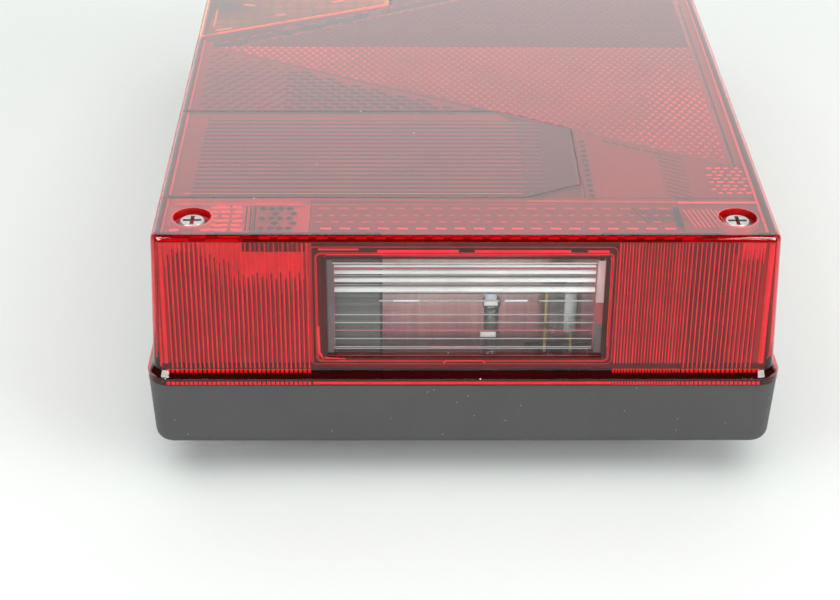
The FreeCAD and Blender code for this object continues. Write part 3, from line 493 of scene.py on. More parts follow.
def under(x, y, drop):
    """Relief moulded deeper under the face stands a little further out than its mark on the face."""
    far = min(1.0, max(0.0, (112.0 - y) / 60.0))
    px, py = x + (x + 14.8) * drop / CAM_HIGH, y + (y + 464.8) * drop / CAM_HIGH * far
    return max(-65.5, min(65.5, px)), max(-115.6, min(115.6, py))


def top_bar(b, x0, y0, x1, y1, r, z=ZR, seg=3, flat=0.5):
    p, q = under(x0, y0, FACE - z), under(x1, y1, FACE - z)
    b.bar((p[0], p[1], z), (q[0], q[1], z), r, seg=seg, flat=flat)


def top_pad(b, x, y, hu, hv, h=0.3, turn=0.0, z=ZR, grid=2):
    px, py = under(x, y, FACE - z)
    c, s_ = math.cos(math.radians(turn)), math.sin(math.radians(turn))
    b.pillow((px, py, z), (c, s_, 0), (-s_, c, 0), (0, 0, 1), hu, hv, h, grid=grid)


def prism(b, pts, z0, z1):
    n = len(pts)
    verts = [(x, y, z0) for x, y in pts] + [(x, y, z1) for x, y in pts]
    faces = [tuple(range(n - 1, -1, -1)), tuple(range(n, 2 * n))]
    faces += [(i, (i + 1) % n, n + (i + 1) % n, n + i) for i in range(n)]
    b.add(verts, faces)


def sheet(name, pts, mat, z=ZR - 0.75, slot="red_lens"):
    b = Build()
    prism(b, [under(x, y, FACE - z) for x, y in pts], z - 0.08, z)
    return b.make(name, mat, slot=slot)


def line(b, pts, r, up=(0, 0, 1), seg=3):
    for p, q in zip(pts, pts[1:]):
        b.bar(p, q, r, up=up, seg=seg)


# sheets that give each zone its depth of colour
sheet("fog_zone_sheet", [(-60.2, -98.3), (13.2, -98.3), (25.6, -92.0), (25.6, -64.0), (9.8, -55.4), (-59.6, -55.4)], "sheet_low", slot="fog_red")
sheet("fog_margin_sheet", [(-64.6, -98.3), (-60.3, -98.3), (-59.7, -55.4), (-64.6, -55.4)], "sheet_pink", slot="fog_red")
sheet("fog_far_sheet", [(-59.5, -58.8), (12.0, -58.8), (9.8, -55.4), (-59.5, -55.4)], "sheet_pink", z=ZR - 0.6, slot="fog_red")
sheet("left_zone_sheet", [(-64.6, -52.9), (3.0, -52.9), (3.4, -51.8), (-61.2, -14.95), (-64.6, -14.95)], "sheet_pink")
sheet("diagonal_band_sheet", [(-64.4, -10.2), (-62.2, -13.4), (61.8, 56.8), (61.8, 59.9), (-15.2, 17.6), (-15.2, 98.8), (-17.2, 98.8), (-17.2, 14.2), (-18.6, 12.9), (-64.4, -8.6)], "sheet_low", z=ZR - 0.9)
sheet("left_apex_sheet", [(-64.6, -14.9), (-62.4, -14.9), (-62.4, -10.6), (-64.6, -10.6)], "sheet_pink")
sheet("reflex_near_sheet", [(-61.0, -14.2), (-61.0, -14.7), (60.6, -83.0), (61.6, -81.4), (61.6, -14.2)], "sheet_near", slot="reflex_red")
sheet("right_zone_sheet", [(26.9, -99.0), (64.0, -99.0), (64.0, -84.0), (61.6, -83.8), (26.9, -64.2)], "sheet_pink")
sheet("right_margin_sheet", [(62.4, -83.6), (64.4, -83.6), (65.4, 20.0), (62.6, 20.0)], "sheet_near")
sheet("strip_left_sheet", [(-64.6, -115.0), (-46.0, -115.0), (-46.0, -99.6), (-64.6, -99.6)], "sheet_hot")
sheet("strip_pads_sheet", [(-45.8, -115.0), (-33.6, -115.0), (-33.6, -99.3), (-45.8, -99.3)], "sheet_warm")
sheet("strip_mid_sheet", [(-33.4, -115.0), (46.4, -115.0), (46.4, -99.3), (-33.4, -99.3)], "sheet_pink")
sheet("strip_right_sheet", [(46.6, -115.0), (64.4, -115.0), (64.4, -99.6), (46.6, -99.6)], "sheet_pink")
sheet("strip_band_sheet", [(-63.4, -102.8), (-35.0, -102.8), (-35.0, -99.7), (-63.4, -99.7)], "sheet_hot", z=ZR - 0.3)
sheet("strip_far_sheet", [(-64.4, 115.0), (64.4, 115.0), (64.4, 101.0), (-64.4, 101.0)], "sheet_pink")
sheet("stop_zone_sheet", [(-15.0, 17.8), (62.0, 60.0), (62.0, 99.0), (-15.0, 99.0)], "sheet_low")
sheet("amber_zone_sheet", [(-64.6, -9.0), (-18.4, 12.4), (-18.4, 95.0), (-64.6, 95.0)], "sheet_amber", slot="amber")

# fog segment: ribs along X
b = Build()
for i in range(18):
    y = -60.2 - i * 2.07
    top_bar(b, -59.7 - 0.035 * i, y, 14.4 - (0.6 if i % 3 else 0.0) - (2.0 if i == 17 else 0), y, 0.36)
for i in range(18):
    y = -60.2 - i * 2.07
    top_bar(b, 14.2 - (3.0 if i == 17 else 0), y, 18.0 + 1.2 * rng.random() - (4.5 if i == 17 else 0), y, 0.17)
b.make("fog_ribs", "fog_line", slot="fog_red")
b = Build()
top_bar(b, -62.0, -97.0, 13.0, -97.0, 0.12)
top_bar(b, -64.9, -97.8, -64.9, -55.0, 0.30)
b.make("fog_inner_edge", "hi", slot="fog_red")

# triangular reflex reflector: hexagonal prisms, with painted light pooled near two of its corners
TRI = [(-62.6, -13.2), (-62.6, -14.2), (60.8, -83.2), (61.6, -81.5), (61.6, 55.5), (60.8, 57.2), (-62.6, -13.0)]
dots = {"dot_hi": Build(), "dot_mid": Build(), "dark": Build()}
pitch = 2.05
row = 0
y = -84.0
while y < -14.4:
    x = -64.0 + (pitch / 2 if row % 2 else 0)
    while x < 63.5:
        if inside(TRI, x, y) and dist_edge(TRI, x, y) > 0.6 and y < -14.6:
            # hot_l and hot_r: where painted light pools on the prisms; there they get the bright colour
            hot_l = math.exp(-(((x + 42) / 19.0) ** 2 + ((y + 19 + 0.25 * (x + 42)) / 8.5) ** 2))
            hot_r = math.exp(-(((x - 53) / 12.0) ** 2 + ((y + 56) / 26.0) ** 2))
            hot = max(hot_l, hot_r)
            px, py = under(x, y, FACE - ZR)
            if hot > 0.22 + 0.5 * rng.random():
                dots["dot_hi"].dome((px, py, ZR), pitch * (0.21 + 0.09 * hot), 0.3, turn=math.pi / 6)
            else:
                dots["dot_mid"].dome((px, py, ZR), pitch * 0.27, 0.25, turn=math.pi / 6)
        x += pitch
    y -= -pitch * 0.866
    row += 1
dots["dot_hi"].make("reflex_prisms_painted_light", "dot_hi", slot="reflex_red")
dots["dot_mid"].make("reflex_prisms_near", "dot_mid", slot="reflex_red")
b = Build()
row = 0
y = -11.8
while y < 57:
    x = -64.0 + (pitch / 2 if row % 2 else 0)
    while x < 63.5:
        if inside(TRI, x, y) and dist_edge(TRI, x, y) > 0.9:
            b.dome((x, y + 2.2, ZR - 0.9), pitch * 0.34, 0.2, turn=math.pi / 6)
        x += pitch
    y += pitch * 0.866
    row += 1
b.make("reflex_prisms_far", "low", slot="reflex_red")
b = Build()
for i in range(34):
    t = i / 34.0
    top_bar(b, -60.0 + 122 * t, -11.2 + 70 * t, -58.4 + 122 * t, -10.3 + 70 * t, 0.14)
b.make("reflex_far_edge", "mid", slot="reflex_red")

# staggered dark pads between the reflector and the fog segment
LEFT = [(-64.0, -52.6), (-64.0, -15.2), (-62.6, -15.0), (0.5, -51.6), (-1.5, -52.6)]
b = Build()
row = 0
y = -51.6
while y < -17:
    x = -63.4 + (1.6 if row % 2 else 0)
    while x < 2:
        if inside(LEFT, x, y) and dist_edge(LEFT, x, y) > 0.9:
            near = (x + 63.0) / 60.0
            fade = 1.0 if y < -30 else 0.75
            if near < 0.36:
                top_pad(b, x, y, 1.15 * fade, 0.26 * fade, turn=26)
            else:
                top_pad(b, x, y, 1.20 * fade, 0.46 * fade, turn=-12)
        x += 3.2
    y += 2.1
    row += 1
b.make("left_pads", "dark")

# right zone: dark dashed column, slanted streaks, bright dots by the wall
b = Build()
y = -98.0
while y < -68:
    top_pad(b, 28.3, y, 0.62, 0.55)
    y += 2.5
for i in range(11):
    y0 = -76.5 - i * 2.1
    top_bar(b, 45.2, y0, 50.6, y0 - 3.4, 0.15)
for i in range(6):
    top_bar(b, 33.0 + i * 2.3, -69.6 - i * 1.3, 34.6 + i * 2.3, -71.0 - i * 1.3, 0.22)
for i in range(8):
    top_bar(b, 36.4 + i * 1.15, -103.6 - 0.2 * i, 39.6 + i * 1.15, -111.0 + 0.2 * i, 0.13)
b.bar((*under(46.0, -103.9, 1.05), ZR), (*under(46.2, -112.4, 1.05), ZR), 0.62, flat=0.4)
for k in range(3):
    top_bar(b, -47.4 + 0.95 * k, -103.4, -47.2 + 0.95 * k, -114.4, 0.17)
for i in range(4):
    for j in range(5):
        if (i + j) % 2 == 0 or j % 2 == 0:
            top_pad(b, -43.9 + i * 1.95 + (0.9 if j % 2 else 0), -104.4 - j * 2.2, 0.66, 0.66, turn=45)
b.make("zone_shadows", "dark")
b = Build()
for j in range(8):
    for i in range(4):
        x, y = 55.6 + i * 2.1 + (1.05 if j % 2 else 0), -84.4 - j * 1.75
        if x < 63.2 and math.hypot(x - 59.0, y + 95.2) > 0.5:
            top_pad(b, x + 0.5 * rng.random(), y, 0.45 + 0.35 * rng.random(), 0.30, turn=8)
for i in range(8):
    top_bar(b, 47.6 + i * 1.0, -104.4 - 0.6 * rng.random(), 49.4 + i * 1.0, -112.8, 0.14)
b.make("right_optics", "hi")

# bright inner edges where the face meets the walls, and along the near and far strips
b = Build()
top_bar(b, -64.95, -115.0, -64.95, -99.6, 0.30)
top_bar(b, -64.95, -52.8, -64.95, -10.0, 0.26)
top_bar(b, -64.95, 99.6, -64.95, 114.6, 0.26)
top_bar(b, 64.3, -115.0, 64.65, -35.0, 0.34)
top_bar(b, 64.65, -35.0, 64.9, 40.0, 0.27)
top_bar(b, 64.9, 40.0, 64.9, 114.0, 0.24)
top_bar(b, 46.8, -101.25, 64.6, -101.25, 0.40)
for sy in (-1, 1):
    x = -30.0
    k = 0
    while x < 44:
        top_pad(b, x, sy * 113.4, 1.2, 0.36, turn=-3)
        x += 4.1
b.make("lens_inner_edges", "hi")
b = Build()
top_bar(b, -34.6, -99.9, 46.6, -101.0, 0.34)
top_bar(b, -34.0, -102.2, 20.0, -102.0, 0.16)
for sy in (-1, 1):
    x = -30.6
    while x < 44:
        top_pad(b, x, sy * 104.2, 1.15, 0.40, turn=-3)
        x += 4.1
for yy, pitch_x, hu in ((-107.4, 2.6, 0.62), (-110.4, 3.3, 0.85)):
    x = -31.5
    while x < 44:
        top_pad(b, x, yy, hu, 0.34, turn=-3)
        x += pitch_x
b.make("strip_dashes", "mid")
b = Build()
r2 = random.Random(11)
for i in range(5):
    for j in range(6):
        x, y = -62.8 + 3.3 * i + 0.4 * (j % 2), -103.6 - 2.1 * j
        if math.hypot(x + 59.0, y + 108.0) > 6.2:
            top_pad(b, x + 0.3 * r2.random(), y, 0.85 + 0.3 * r2.random(), 0.55, turn=20 * (r2.random() - 0.5))
for i in range(3):
    for j in range(6):
        top_pad(b, -54.2 + 2.4 * i, -103.8 - 2.0 * j, 0.7 + 0.3 * r2.random(), 0.5, turn=25 * (r2.random() - 0.5))
b.make("strip_mottles", "hi")

# stop and tail zone: faint concentric steps
b = Build()
cx, cy = 18.0, 70.0
for k in range(3, 20):
    r = 2.1 * k
    n = max(24, int(r * 2.5))
    pts = []
    for i in range(n + 1):
        a = 2 * math.pi * i / n
        x, y = cx + r * math.cos(a), cy + r * math.sin(a)
        ok = -14.6 < x < 62.5 and y < 99.6 and not (inside(TRI, x, y) or dist_edge(TRI, x, y) < 1.2)
        if ok:
            pts.append((x, y))
            continue
        for p, q in zip(pts, pts[1:]):
            b.bar((p[0], p[1], ZR - 0.6), (q[0], q[1], ZR - 0.6), 0.36, seg=3, flat=0.5)
        pts = []
    for p, q in zip(pts, pts[1:]):
        b.bar((p[0], p[1], ZR - 0.6), (q[0], q[1], ZR - 0.6), 0.36, seg=3, flat=0.5)
b.make("stop_lens_steps", "low")
b = Build()
ring = [(*under(20.0 + 17.0 * math.cos(2 * math.pi * i / 72), 18.5 + 17.0 * math.sin(2 * math.pi * i / 72), 1.2), ZR - 0.2) for i in range(73)]
for i, (p, q) in enumerate(zip(ring, ring[1:])):
    if i % 7 != 3:
        b.bar(p, q, 0.24, seg=3, flat=0.5)
b.make("stop_ring", "low")

# amber pillow optics and their few bright glints
b = Build()
y = -8.0
while y < 97:
    x = -62.8
    while x < -19.4:
        if y > -10.86 + (x + 75.0) * 27.06 / 58.5 - 0.4:
            b.pillow((x, y, ZR - 0.7), (1, 0, 0), (0, 1, 0), (0, 0, 1), 1.7, 1.7, 0.5)
        x += 3.8
    y += 3.8
b.make("amber_pads", "sheet_amber", slot="amber", smooth=True)
b = Build()
for x, y, u, v, t in ((-63.4, 6.0, 0.25, 6.0, 0), (-60.5, -2.2, 2.2, 0.5, 20), (-46.0, 8.0, 1.4, 0.9, 20), (-31.0, 18.0, 1.7, 0.7, 30), (-55.0, 15.0, 1.6, 0.7, -15)):
    top_pad(b, x, y, u, v, turn=t, z=ZR - 0.3)
b.make("amber_glints", "amber_glint", slot="amber")
b = Build()
for x0, x1, rad in ((-66.9, -62.0, 0.40), (-62.0, -40.0, 0.52), (-40.0, -24.0, 0.58), (-24.0, -17.2, 0.62)):
    b.bar((x0, -10.86 + (x0 + 75) * 27.06 / 58.5 + 0.55, 51.66), (x1, -10.86 + (x1 + 75) * 27.06 / 58.5 + 0.55, 51.66), rad, seg=5, flat=0.45)
b.bar((-17.35, 17.4, 51.1), (-17.35, 98.0, 51.1), 0.2)
b.bar((-66.0, 98.2, 51.1), (-17.4, 98.2, 51.1), 0.2)
b.bar((-67.0, -6.4, 50.3), (-68.3, -6.4, 22.0), 0.22, up=(-1, 0, 0))
b.make("amber_bright_edge", "amber_edge", slot="amber")

# =====================================================================================
# walls of the lens: fine upright ribs
# =====================================================================================


def wall_point(side, s, z, depth):
    """A point at a depth behind the outside of a wall; s runs along the wall."""
    h = wall_half(z) - depth
    if side == "near":
        return (s, -(h + 50.0), z)
    if side == "far":
        return (s, h + 50.0, z)
    if side == "left":
        return (-h, s, z)
    return (h, s, z)


OUT = {"near": (0, -1, 0), "far": (0, 1, 0), "left": (-1, 0, 0), "right": (1, 0, 0)}


def ribs(b, side, s0, s1, pitch, r, z0=20.8, z1=50.2, depth=0.85, jitter=0.0, low=None, high=None):
    """Half-round upright ribs; low and high can give a foot or head height for each place."""
    n = int((s1 - s0) / pitch + 1e-6)
    for i in range(n + 1):
        s = s0 + i * pitch
        k = 1.0 + jitter * (rng.random() - 0.5)
        a, c = (low(s) if low else z0), (high(s) if high else z1)
        b.bar(wall_point(side, s, a, depth), wall_point(side, s, c, depth), r * k, up=OUT[side], seg=3, flat=0.6)


def panel(b, side, s0, s1, z0, z1, depth, thick=0.1):
    """A thin slab that follows a wall."""
    n = len(b.v)
    p = [wall_point(side, s, z, d) for d in (depth, depth + thick) for s, z in ((s0, z0), (s1, z0), (s1, z1), (s0, z1))]
    b.add(p, [(0, 1, 2, 3), (7, 6, 5, 4), (0, 4, 5, 1), (1, 5, 6, 2), (2, 6, 7, 3), (3, 7, 4, 0)])


b = Build()
panel(b, "near", -66.2, -33.0, 20.8, 50.3, 1.15)
panel(b, "near", 57.0, 65.0, 20.8, 50.3, 1.15)
b.make("near_wall_sheets", "sheet_wall")
b = Build()
panel(b, "near", 32.6, 57.0, 20.8, 50.3, 1.15)
b.make("near_wall_dim", "sheet_dim")
b = Build()
panel(b, "near", -66.4, 66.4, 19.45, 20.7, 1.0)
panel(b, "near", -47.6, -34.4, 48.2, 50.4, 0.80)
panel(b, "near", -34.2, -30.4, 20.8, 50.4, 1.5)
panel(b, "near", 30.6, 32.5, 20.8, 50.4, 1.5)
panel(b, "near", -30.4, 30.6, 47.0, 50.4, 1.5)
panel(b, "near", -30.4, 30.6, 19.6, 22.2, 1.5)
panel(b, "near", 56.6, 58.4, 47.4, 50.3, 0.95)
b.make("near_wall_shade", "brown")


# Head heights of the dark rib gaps: they stop below the painted light at the top of the near wall.
def left_head(s):
    fade = 2.6 * rng.random() + 0.8
    if s > -46.5 or s < -57.0:
        return (46.6 if s < -57.0 else 40.4) + fade
    return 40.6 + fade + (0.55 * (-47.0 - s) if s < -50 else 0)


def painted_light_streak(b, s, foot, head, r):
    """A painted light streak on the near wall, bright where light from above falls, that thins out towards its foot."""
    foot += 1.3 * rng.random()
    for z0, z1, k in ((foot - 3.0, foot - 1.7, 0.30), (foot - 1.7, foot - 0.6, 0.55), (foot - 0.6, foot + 0.6, 0.78), (foot + 0.6, head, 1.0)):
        b.bar(wall_point("near", s, z0, 1.0), wall_point("near", s, z1, 1.0), r * k, up=(0, -1, 0), flat=0.3, seg=3)


# dark gaps between the near wall's ribs; they stop short under the painted light at the wall's top
b = Build()
ribs(b, "near", -63.75, -33.8, 1.0, 0.15, jitter=0.5, depth=0.8, high=left_head)
ribs(b, "near", 48.75, 64.0, 0.98, 0.11, jitter=0.4, depth=0.8, high=lambda s: 46.4 if s > 58 else 50.2)
# dark lines in the painted shadow at the top of the near wall, left of the window
ribs(b, "near", -46.9, -35.2, 0.62, 0.15, z0=48.2, jitter=0.9, depth=0.62)
b.make("near_rib_gaps", "rib_gap")
b = Build()
ribs(b, "near", -64.05, -33.8, 1.0, 0.19, jitter=0.5, depth=0.8)
ribs(b, "near", 48.35, 64.0, 0.98, 0.16, jitter=0.3, depth=0.8)
b.bar(wall_point("near", -65.4, 20.8, 0.9), wall_point("near", -65.2, 50.2, 0.9), 0.40, up=(0, -1, 0), flat=0.5)
b.bar(wall_point("near", 65.35, 20.8, 0.9), wall_point("near", 65.35, 50.2, 0.9), 0.62, up=(0, -1, 0), flat=0.5)
b.make("near_wall_ribs", "rib_hi")
b = Build()
ribs(b, "near", 33.0, 47.6, 0.66, 0.135, jitter=0.8, depth=0.8)
ribs(b, "near", -64.05, -33.8, 1.0, 0.17, z0=19.6, z1=20.7, depth=0.85)
ribs(b, "near", 48.35, 64.0, 0.98, 0.15, z0=19.6, z1=20.7, depth=0.85)
b.make("near_fine_ribs", "rib_hi")
# painted light: bright streaks at the top of the near wall where light from above falls through the lens
b = Build()
for k in range(12):
    s = -55.0 + k * 0.62
    painted_light_streak(b, s, 43.3 - 0.2 * k, 50.3, 0.31)
for k in range(26):
    s = -50.6 + k * 0.62
    painted_light_streak(b, s, 41.0, 48.1, 0.31)
for k in range(8):
    s = 59.4 + k * 0.62
    painted_light_streak(b, s, 47.0, 50.3, 0.31)
for k in range(12):
    s = -64.4 + k * 0.82
    if not -60.4 < s < -57.4:
        painted_light_streak(b, s, 47.4, 50.3, 0.36)
b.make("near_painted_light_block", "rib_hi")

for side, spans in (
    ("far", ((-64.6, 64.6, "red_lens"),)),
    ("right", ((-115.5, 115.5, "red_lens"),)),
    ("left", ((-52.6, -11.6, "red_lens"), (-115.5, -100.2, "red_lens"), (100.4, 115.5, "red_lens"), (-97.8, -55.2, "fog_red"), (-5.0, 97.8, "amber"))),
):
    for k, (s0, s1, sl) in enumerate(spans):
        amber_one = sl == "amber"
        z0 = 22.4 if sl != "red_lens" else 20.8
        b = Build()
        panel(b, side, s0, s1, z0, 50.2, 1.25)
        b.make("%s_wall_sheet_%d" % (side, k), "sheet_amber" if amber_one else "sheet_wall", slot=sl)
        b, c = Build(), Build()
        ribs(b, side, s0 + 0.6, s1 - 0.6, 2.0, 0.34, z0=z0, jitter=0.3)
        ribs(c, side, s0 + 1.4, s1 - 0.4, 2.0, 0.22, z0=z0, jitter=0.5)
        b.make("%s_wall_ribs_%d" % (side, k), "amber_glint" if amber_one else "hi", slot=sl)
        c.make("%s_wall_gaps_%d" % (side, k), "dark", slot=sl)

# =====================================================================================
# rounded top edge of the near wall: two tones, with scallops along it
# =====================================================================================
AXIS_Y, AXIS_Z = -(TOP_HALF + 50.0 - 1.5), FACE - 1.5


def edge_band(b, x0, x1, a0, a1, rad, thick=0.12, n=5, side=-1):
    pts = []
    for d in (0.0, thick):
        for i in range(n + 1):
            a = math.radians(a0 + (a1 - a0) * i / n)
            pts.append((side * (-AXIS_Y + (rad - d) * math.cos(a)), AXIS_Z + (rad - d) * math.sin(a)))
    m = n + 1
    verts = [(x0, y, z) for y, z in pts] + [(x1, y, z) for y, z in pts]
    faces = []
    t = 2 * m
    for i in range(n):
        faces += [(i, i + 1, t + i + 1, t + i), (m + i + 1, m + i, t + m + i, t + m + i + 1)]
        faces += [(i + 1, i, m + i, m + i + 1), (t + i, t + i + 1, t + m + i + 1, t + m + i)]
    faces += [(0, t, t + m, m), (n, m + n, t + m + n, t + n)]
    b.add(verts, faces)


def on_edge(x, a, rad, side=-1):
    a = math.radians(a)
    return (x, side * (-AXIS_Y + rad * math.cos(a)), AXIS_Z + rad * math.sin(a))


for side, tag in ((-1, "near"), (1, "far")):
    b = Build()
    edge_band(b, -47.6, 65.6, 40, 90, 1.15, side=side)
    edge_band(b, -65.6, -47.7, 0, 90, 1.15, side=side)
    edge_band(b, 46.0, 65.6, 2, 39, 1.15, side=side)
    b.make(tag + "_edge_band", "edge_red")
    b = Build()
    edge_band(b, -47.6, 45.9, -4, 39, 1.15, side=side)
    b.make(tag + "_edge_shadow", "edge_deep")
    b = Build()
    x = -43.0
    while x < 50.0:
        p = Vector(on_edge(x, 52, 1.16, side))
        out = Vector((0, side * math.cos(math.radians(52)), math.sin(math.radians(52))))
        tang = Vector((1, 0, 0))
        b.pillow(p, tang, out.cross(tang), out, 1.25, 0.34, 0.22, grid=3)
        b.pillow(Vector(on_edge(x + 2.05, 70, 1.16, side)), tang, Vector((0, side * math.cos(math.radians(70)), math.sin(math.radians(70)))).cross(tang), (0, side * math.cos(math.radians(70)), math.sin(math.radians(70))), 0.9, 0.22, 0.18, grid=3)
        x += 4.1
    for x, a, u in ((-62.0, 30, 3.0), (-57.0, 60, 1.6), (-52.0, 25, 3.4), (-50.5, 62, 2.2), (56.0, 45, 2.5), (61.0, 60, 1.6)):
        out = Vector((0, side * math.cos(math.radians(a)), math.sin(math.radians(a))))
        b.pillow(Vector(on_edge(x, a, 1.16, side)), (1, 0, 0), out.cross(Vector((1, 0, 0))), out, u, 0.3, 0.18, grid=3)
    b.make(tag + "_edge_scallops", "edge_hi", smooth=True)
    b = Build()
    x = -44.9
    while x < 50.0:
        out = Vector((0, side * math.cos(math.radians(80)), math.sin(math.radians(80))))
        b.pillow(Vector(on_edge(x, 80, 1.16, side)), (1, 0, 0), out.cross(Vector((1, 0, 0))), out, 0.9, 0.16, 0.14, grid=2)
        x += 4.1
    b.make(tag + "_edge_nicks", "edge_deep")

# side edges: a dim band outside the bright inner line, painted for the darker reflection in the rounded edge
def side_band(b, sx, y0, y1, rad=1.15, n=5):
    pts = []
    for d in (0.0, 0.12):
        for i in range(n + 1):
            a = math.radians(90.0 * i / n)
            pts.append((sx * (TOP_HALF - 1.5 + (rad - d) * math.cos(a)), FACE - 1.5 + (rad - d) * math.sin(a)))
    for d in (0.0, 0.12):
        pts.append((sx * (TOP_HALF - 2.0), FACE - 0.35 - d))
    order = [2 * n + 2] + list(range(n, -1, -1))
    back = [2 * n + 3] + list(range(2 * n + 1, n, -1))
    m = len(pts)
    verts = [(x, y0, z) for x, z in pts] + [(x, y1, z) for x, z in pts]
    faces = []
    for o in (order, back):
        for p, q in zip(o, o[1:]):
            faces.append((p, q, m + q, m + p))
    b.add(verts, faces)


b = Build()
for y0, y1 in ((-115.3, -99.2), (-53.6, -7.6), (100.0, 115.3)):
    side_band(b, -1, y0, y1)
side_band(b, 1, -115.3, 115.3)
b.make("side_edge_painted_reflection", "brown")
b = Build()
side_band(b, -1, -98.6, -54.2)
b.make("fog_side_painted_reflection", "brown", slot="fog_red")
b = Build()
for sy in (-1, 1):
    b.bar((-66.0, sy * 116.0, 19.3), (-64.9, sy * 114.9, 49.6), 1.1, up=(-1, sy, 0), seg=6)
b.make("left_corner_columns", "rib_hi")
b = Build()
for sy in (-1, 1):
    b.bar((65.7, sy * 115.7, 19.3), (64.6, sy * 114.6, 49.6), 1.3, up=(1, sy, 0), seg=6)
b.make("right_corner_columns", "brown")
b = Build()
for sy in (-1, 1):
    b.bar((67.35, sy * 114.6, 20.0), (66.0, sy * 113.4, 49.4), 0.35, up=(1, 0, 0), seg=4)
b.make("right_corner_lines", "rib_hi")

# =====================================================================================
# foot of the lens: a ledge painted near-black for the dark reflection it shows, between two rows of bright teeth
# =====================================================================================
b = Build()
for side, s1 in (("near", 66.0), ("far", 66.0), ("left", 116.0), ("right", 116.0)):
    ax = Vector(OUT[side])
    al = Vector((1, 0, 0)) if side in ("near", "far") else Vector((0, 1, 0))
    half = 120.0 if side in ("near", "far") else 70.0
    p0 = ax * (half - 1.75) + Vector((0, 0, 19.05))
    p1 = ax * (half - 0.55) + Vector((0, 0, 17.35))
    nrm = (ax * 1.5 + Vector((0, 0, 1.0))).normalized()
    verts = []
    for base in (p0, p1):
        for sgn in (-1, 1):
            verts.append(base + al * (sgn * s1))
    verts += [v - nrm * 0.15 for v in verts]
    b.add(verts, [(0, 1, 3, 2), (4, 6, 7, 5), (0, 4, 5, 1), (2, 3, 7, 6), (0, 2, 6, 4), (1, 5, 7, 3)])
    q0, q1 = ax * (half - 0.50) + Vector((0, 0, 17.5)), ax * (half - 0.50) + Vector((0, 0, 16.45))
    verts = [q + al * (sgn * s1) for q in (q0, q1) for sgn in (-1, 1)]
    verts += [v - ax * 0.12 for v in verts]
    b.add(verts, [(0, 1, 3, 2), (4, 6, 7, 5), (0, 4, 5, 1), (2, 3, 7, 6), (0, 2, 6, 4), (1, 5, 7, 3)])
for sx in (-1, 1):
    for sy in (-1, 1):
        n = 10
        verts, faces = [], []
        for drop in (0.0, 0.12):
            for rad, z in ((2.30, 19.05), (3.45, 17.35)):
                for i in range(n + 1):
                    a = math.pi / 2 * i / n
                    verts.append((sx * (66.0 + (rad - drop) * math.cos(a)), sy * (116.0 + (rad - drop) * math.sin(a)), z - drop * 0.6))
        m_ = n + 1
        for i in range(n):
            faces += [(i, i + 1, m_ + i + 1, m_ + i), (2 * m_ + i + 1, 2 * m_ + i, 3 * m_ + i, 3 * m_ + i + 1)]
            faces += [(i + 1, i, 2 * m_ + i, 2 * m_ + i + 1), (m_ + i, m_ + i + 1, 3 * m_ + i + 1, 3 * m_ + i)]
        faces += [(0, m_, 3 * m_, 2 * m_), (n, 2 * m_ + n, 3 * m_ + n, m_ + n)]
        b.add(verts, faces)
b.make("ledge_painted_dark_reflection", "ledge_dark_reflection_paint")
b = Build()
for s0, s1, pt in ((-65.0, -33.4, 1.0), (32.8, 47.8, 0.66), (48.2, 65.2, 0.98)):
    n = int((s1 - s0) / pt)
    for i in range(n + 1):
        s = s0 + i * pt
        b.pillow((s, -118.55, 19.32), (1, 0, 0), (0, 0.5, 0.87), (0, -0.87, 0.5), 0.33 * pt, 0.42, 0.16, grid=2)
        b.pillow((s, -119.72, 16.85), (1, 0, 0), (0, 0, 1), (0, -1, 0), 0.36 * pt, 0.40, 0.16, grid=2)
b.bar((-33.2, -119.7, 16.85), (32.4, -119.7, 16.85), 0.36, up=(0, -1, 0), flat=0.5)
for sx in (-1, 1):
    b.bar((sx * 69.7, -115.5, 16.85), (sx * 69.7, 115.5, 16.85), 0.34, up=(sx, 0, 0), flat=0.5)
b.bar((-65.4, 119.7, 16.85), (65.4, 119.7, 16.85), 0.34, up=(0, 1, 0), flat=0.5)
b.make("foot_teeth", "tooth_red")

# seams between the segments, and a round gate mark
b = Build()
z = FACE - 0.16
line(b, [(-66.6, -98.95, z), (13.5, -98.95, z), (26.35, -92.35, z)], 0.08)
line(b, [(26.35, -92.35, z), (26.35, -63.25, z), (10.4, -53.85, z), (-66.6, -53.85, z)], 0.05)
line(b, [(-67.0, -98.95, 51.0), (-68.35, -98.95, 22.0)], 0.12, up=(-1, 0, 0))
line(b, [(-67.0, -53.85, 51.0), (-68.35, -53.85, 22.0)], 0.12, up=(-1, 0, 0))
n = 28
ring = [(58.8 + 4.05 * math.cos(math.pi * (i + 4) / n), -95.6 + 4.05 * math.sin(math.pi * (i + 4) / n), z) for i in range(n - 6)]
line(b, ring, 0.12)
b.make("lens_seams", "edge_deep")

# red lining of the screw wells
for (wx, wy), tag in zip(WELLS, ("far_right", "near_right", "far_left", "near_left")):
    b = Build()
    n = 48
    verts, faces = [], []
    for z in (48.05, 51.85):
        for rad in (4.22, 4.62):
            for i in range(n):
                a = 2 * math.pi * i / n
                verts.append((wx + rad * math.cos(a), wy + rad * math.sin(a), z))
    for i in range(n):
        j = (i + 1) % n
        faces += [(j, i, 2 * n + i, 2 * n + j), (n + i, n + j, 3 * n + j, 3 * n + i)]
        faces += [(i, j, n + j, n + i), (2 * n + j, 2 * n + i, 3 * n + i, 3 * n + j)]
    b.add(verts, faces)
    b.make("well_lining_" + tag, "well_red", smooth=False)

# =====================================================================================
# number plate window: rim mouldings, flutes, and what stands behind it
# =====================================================================================


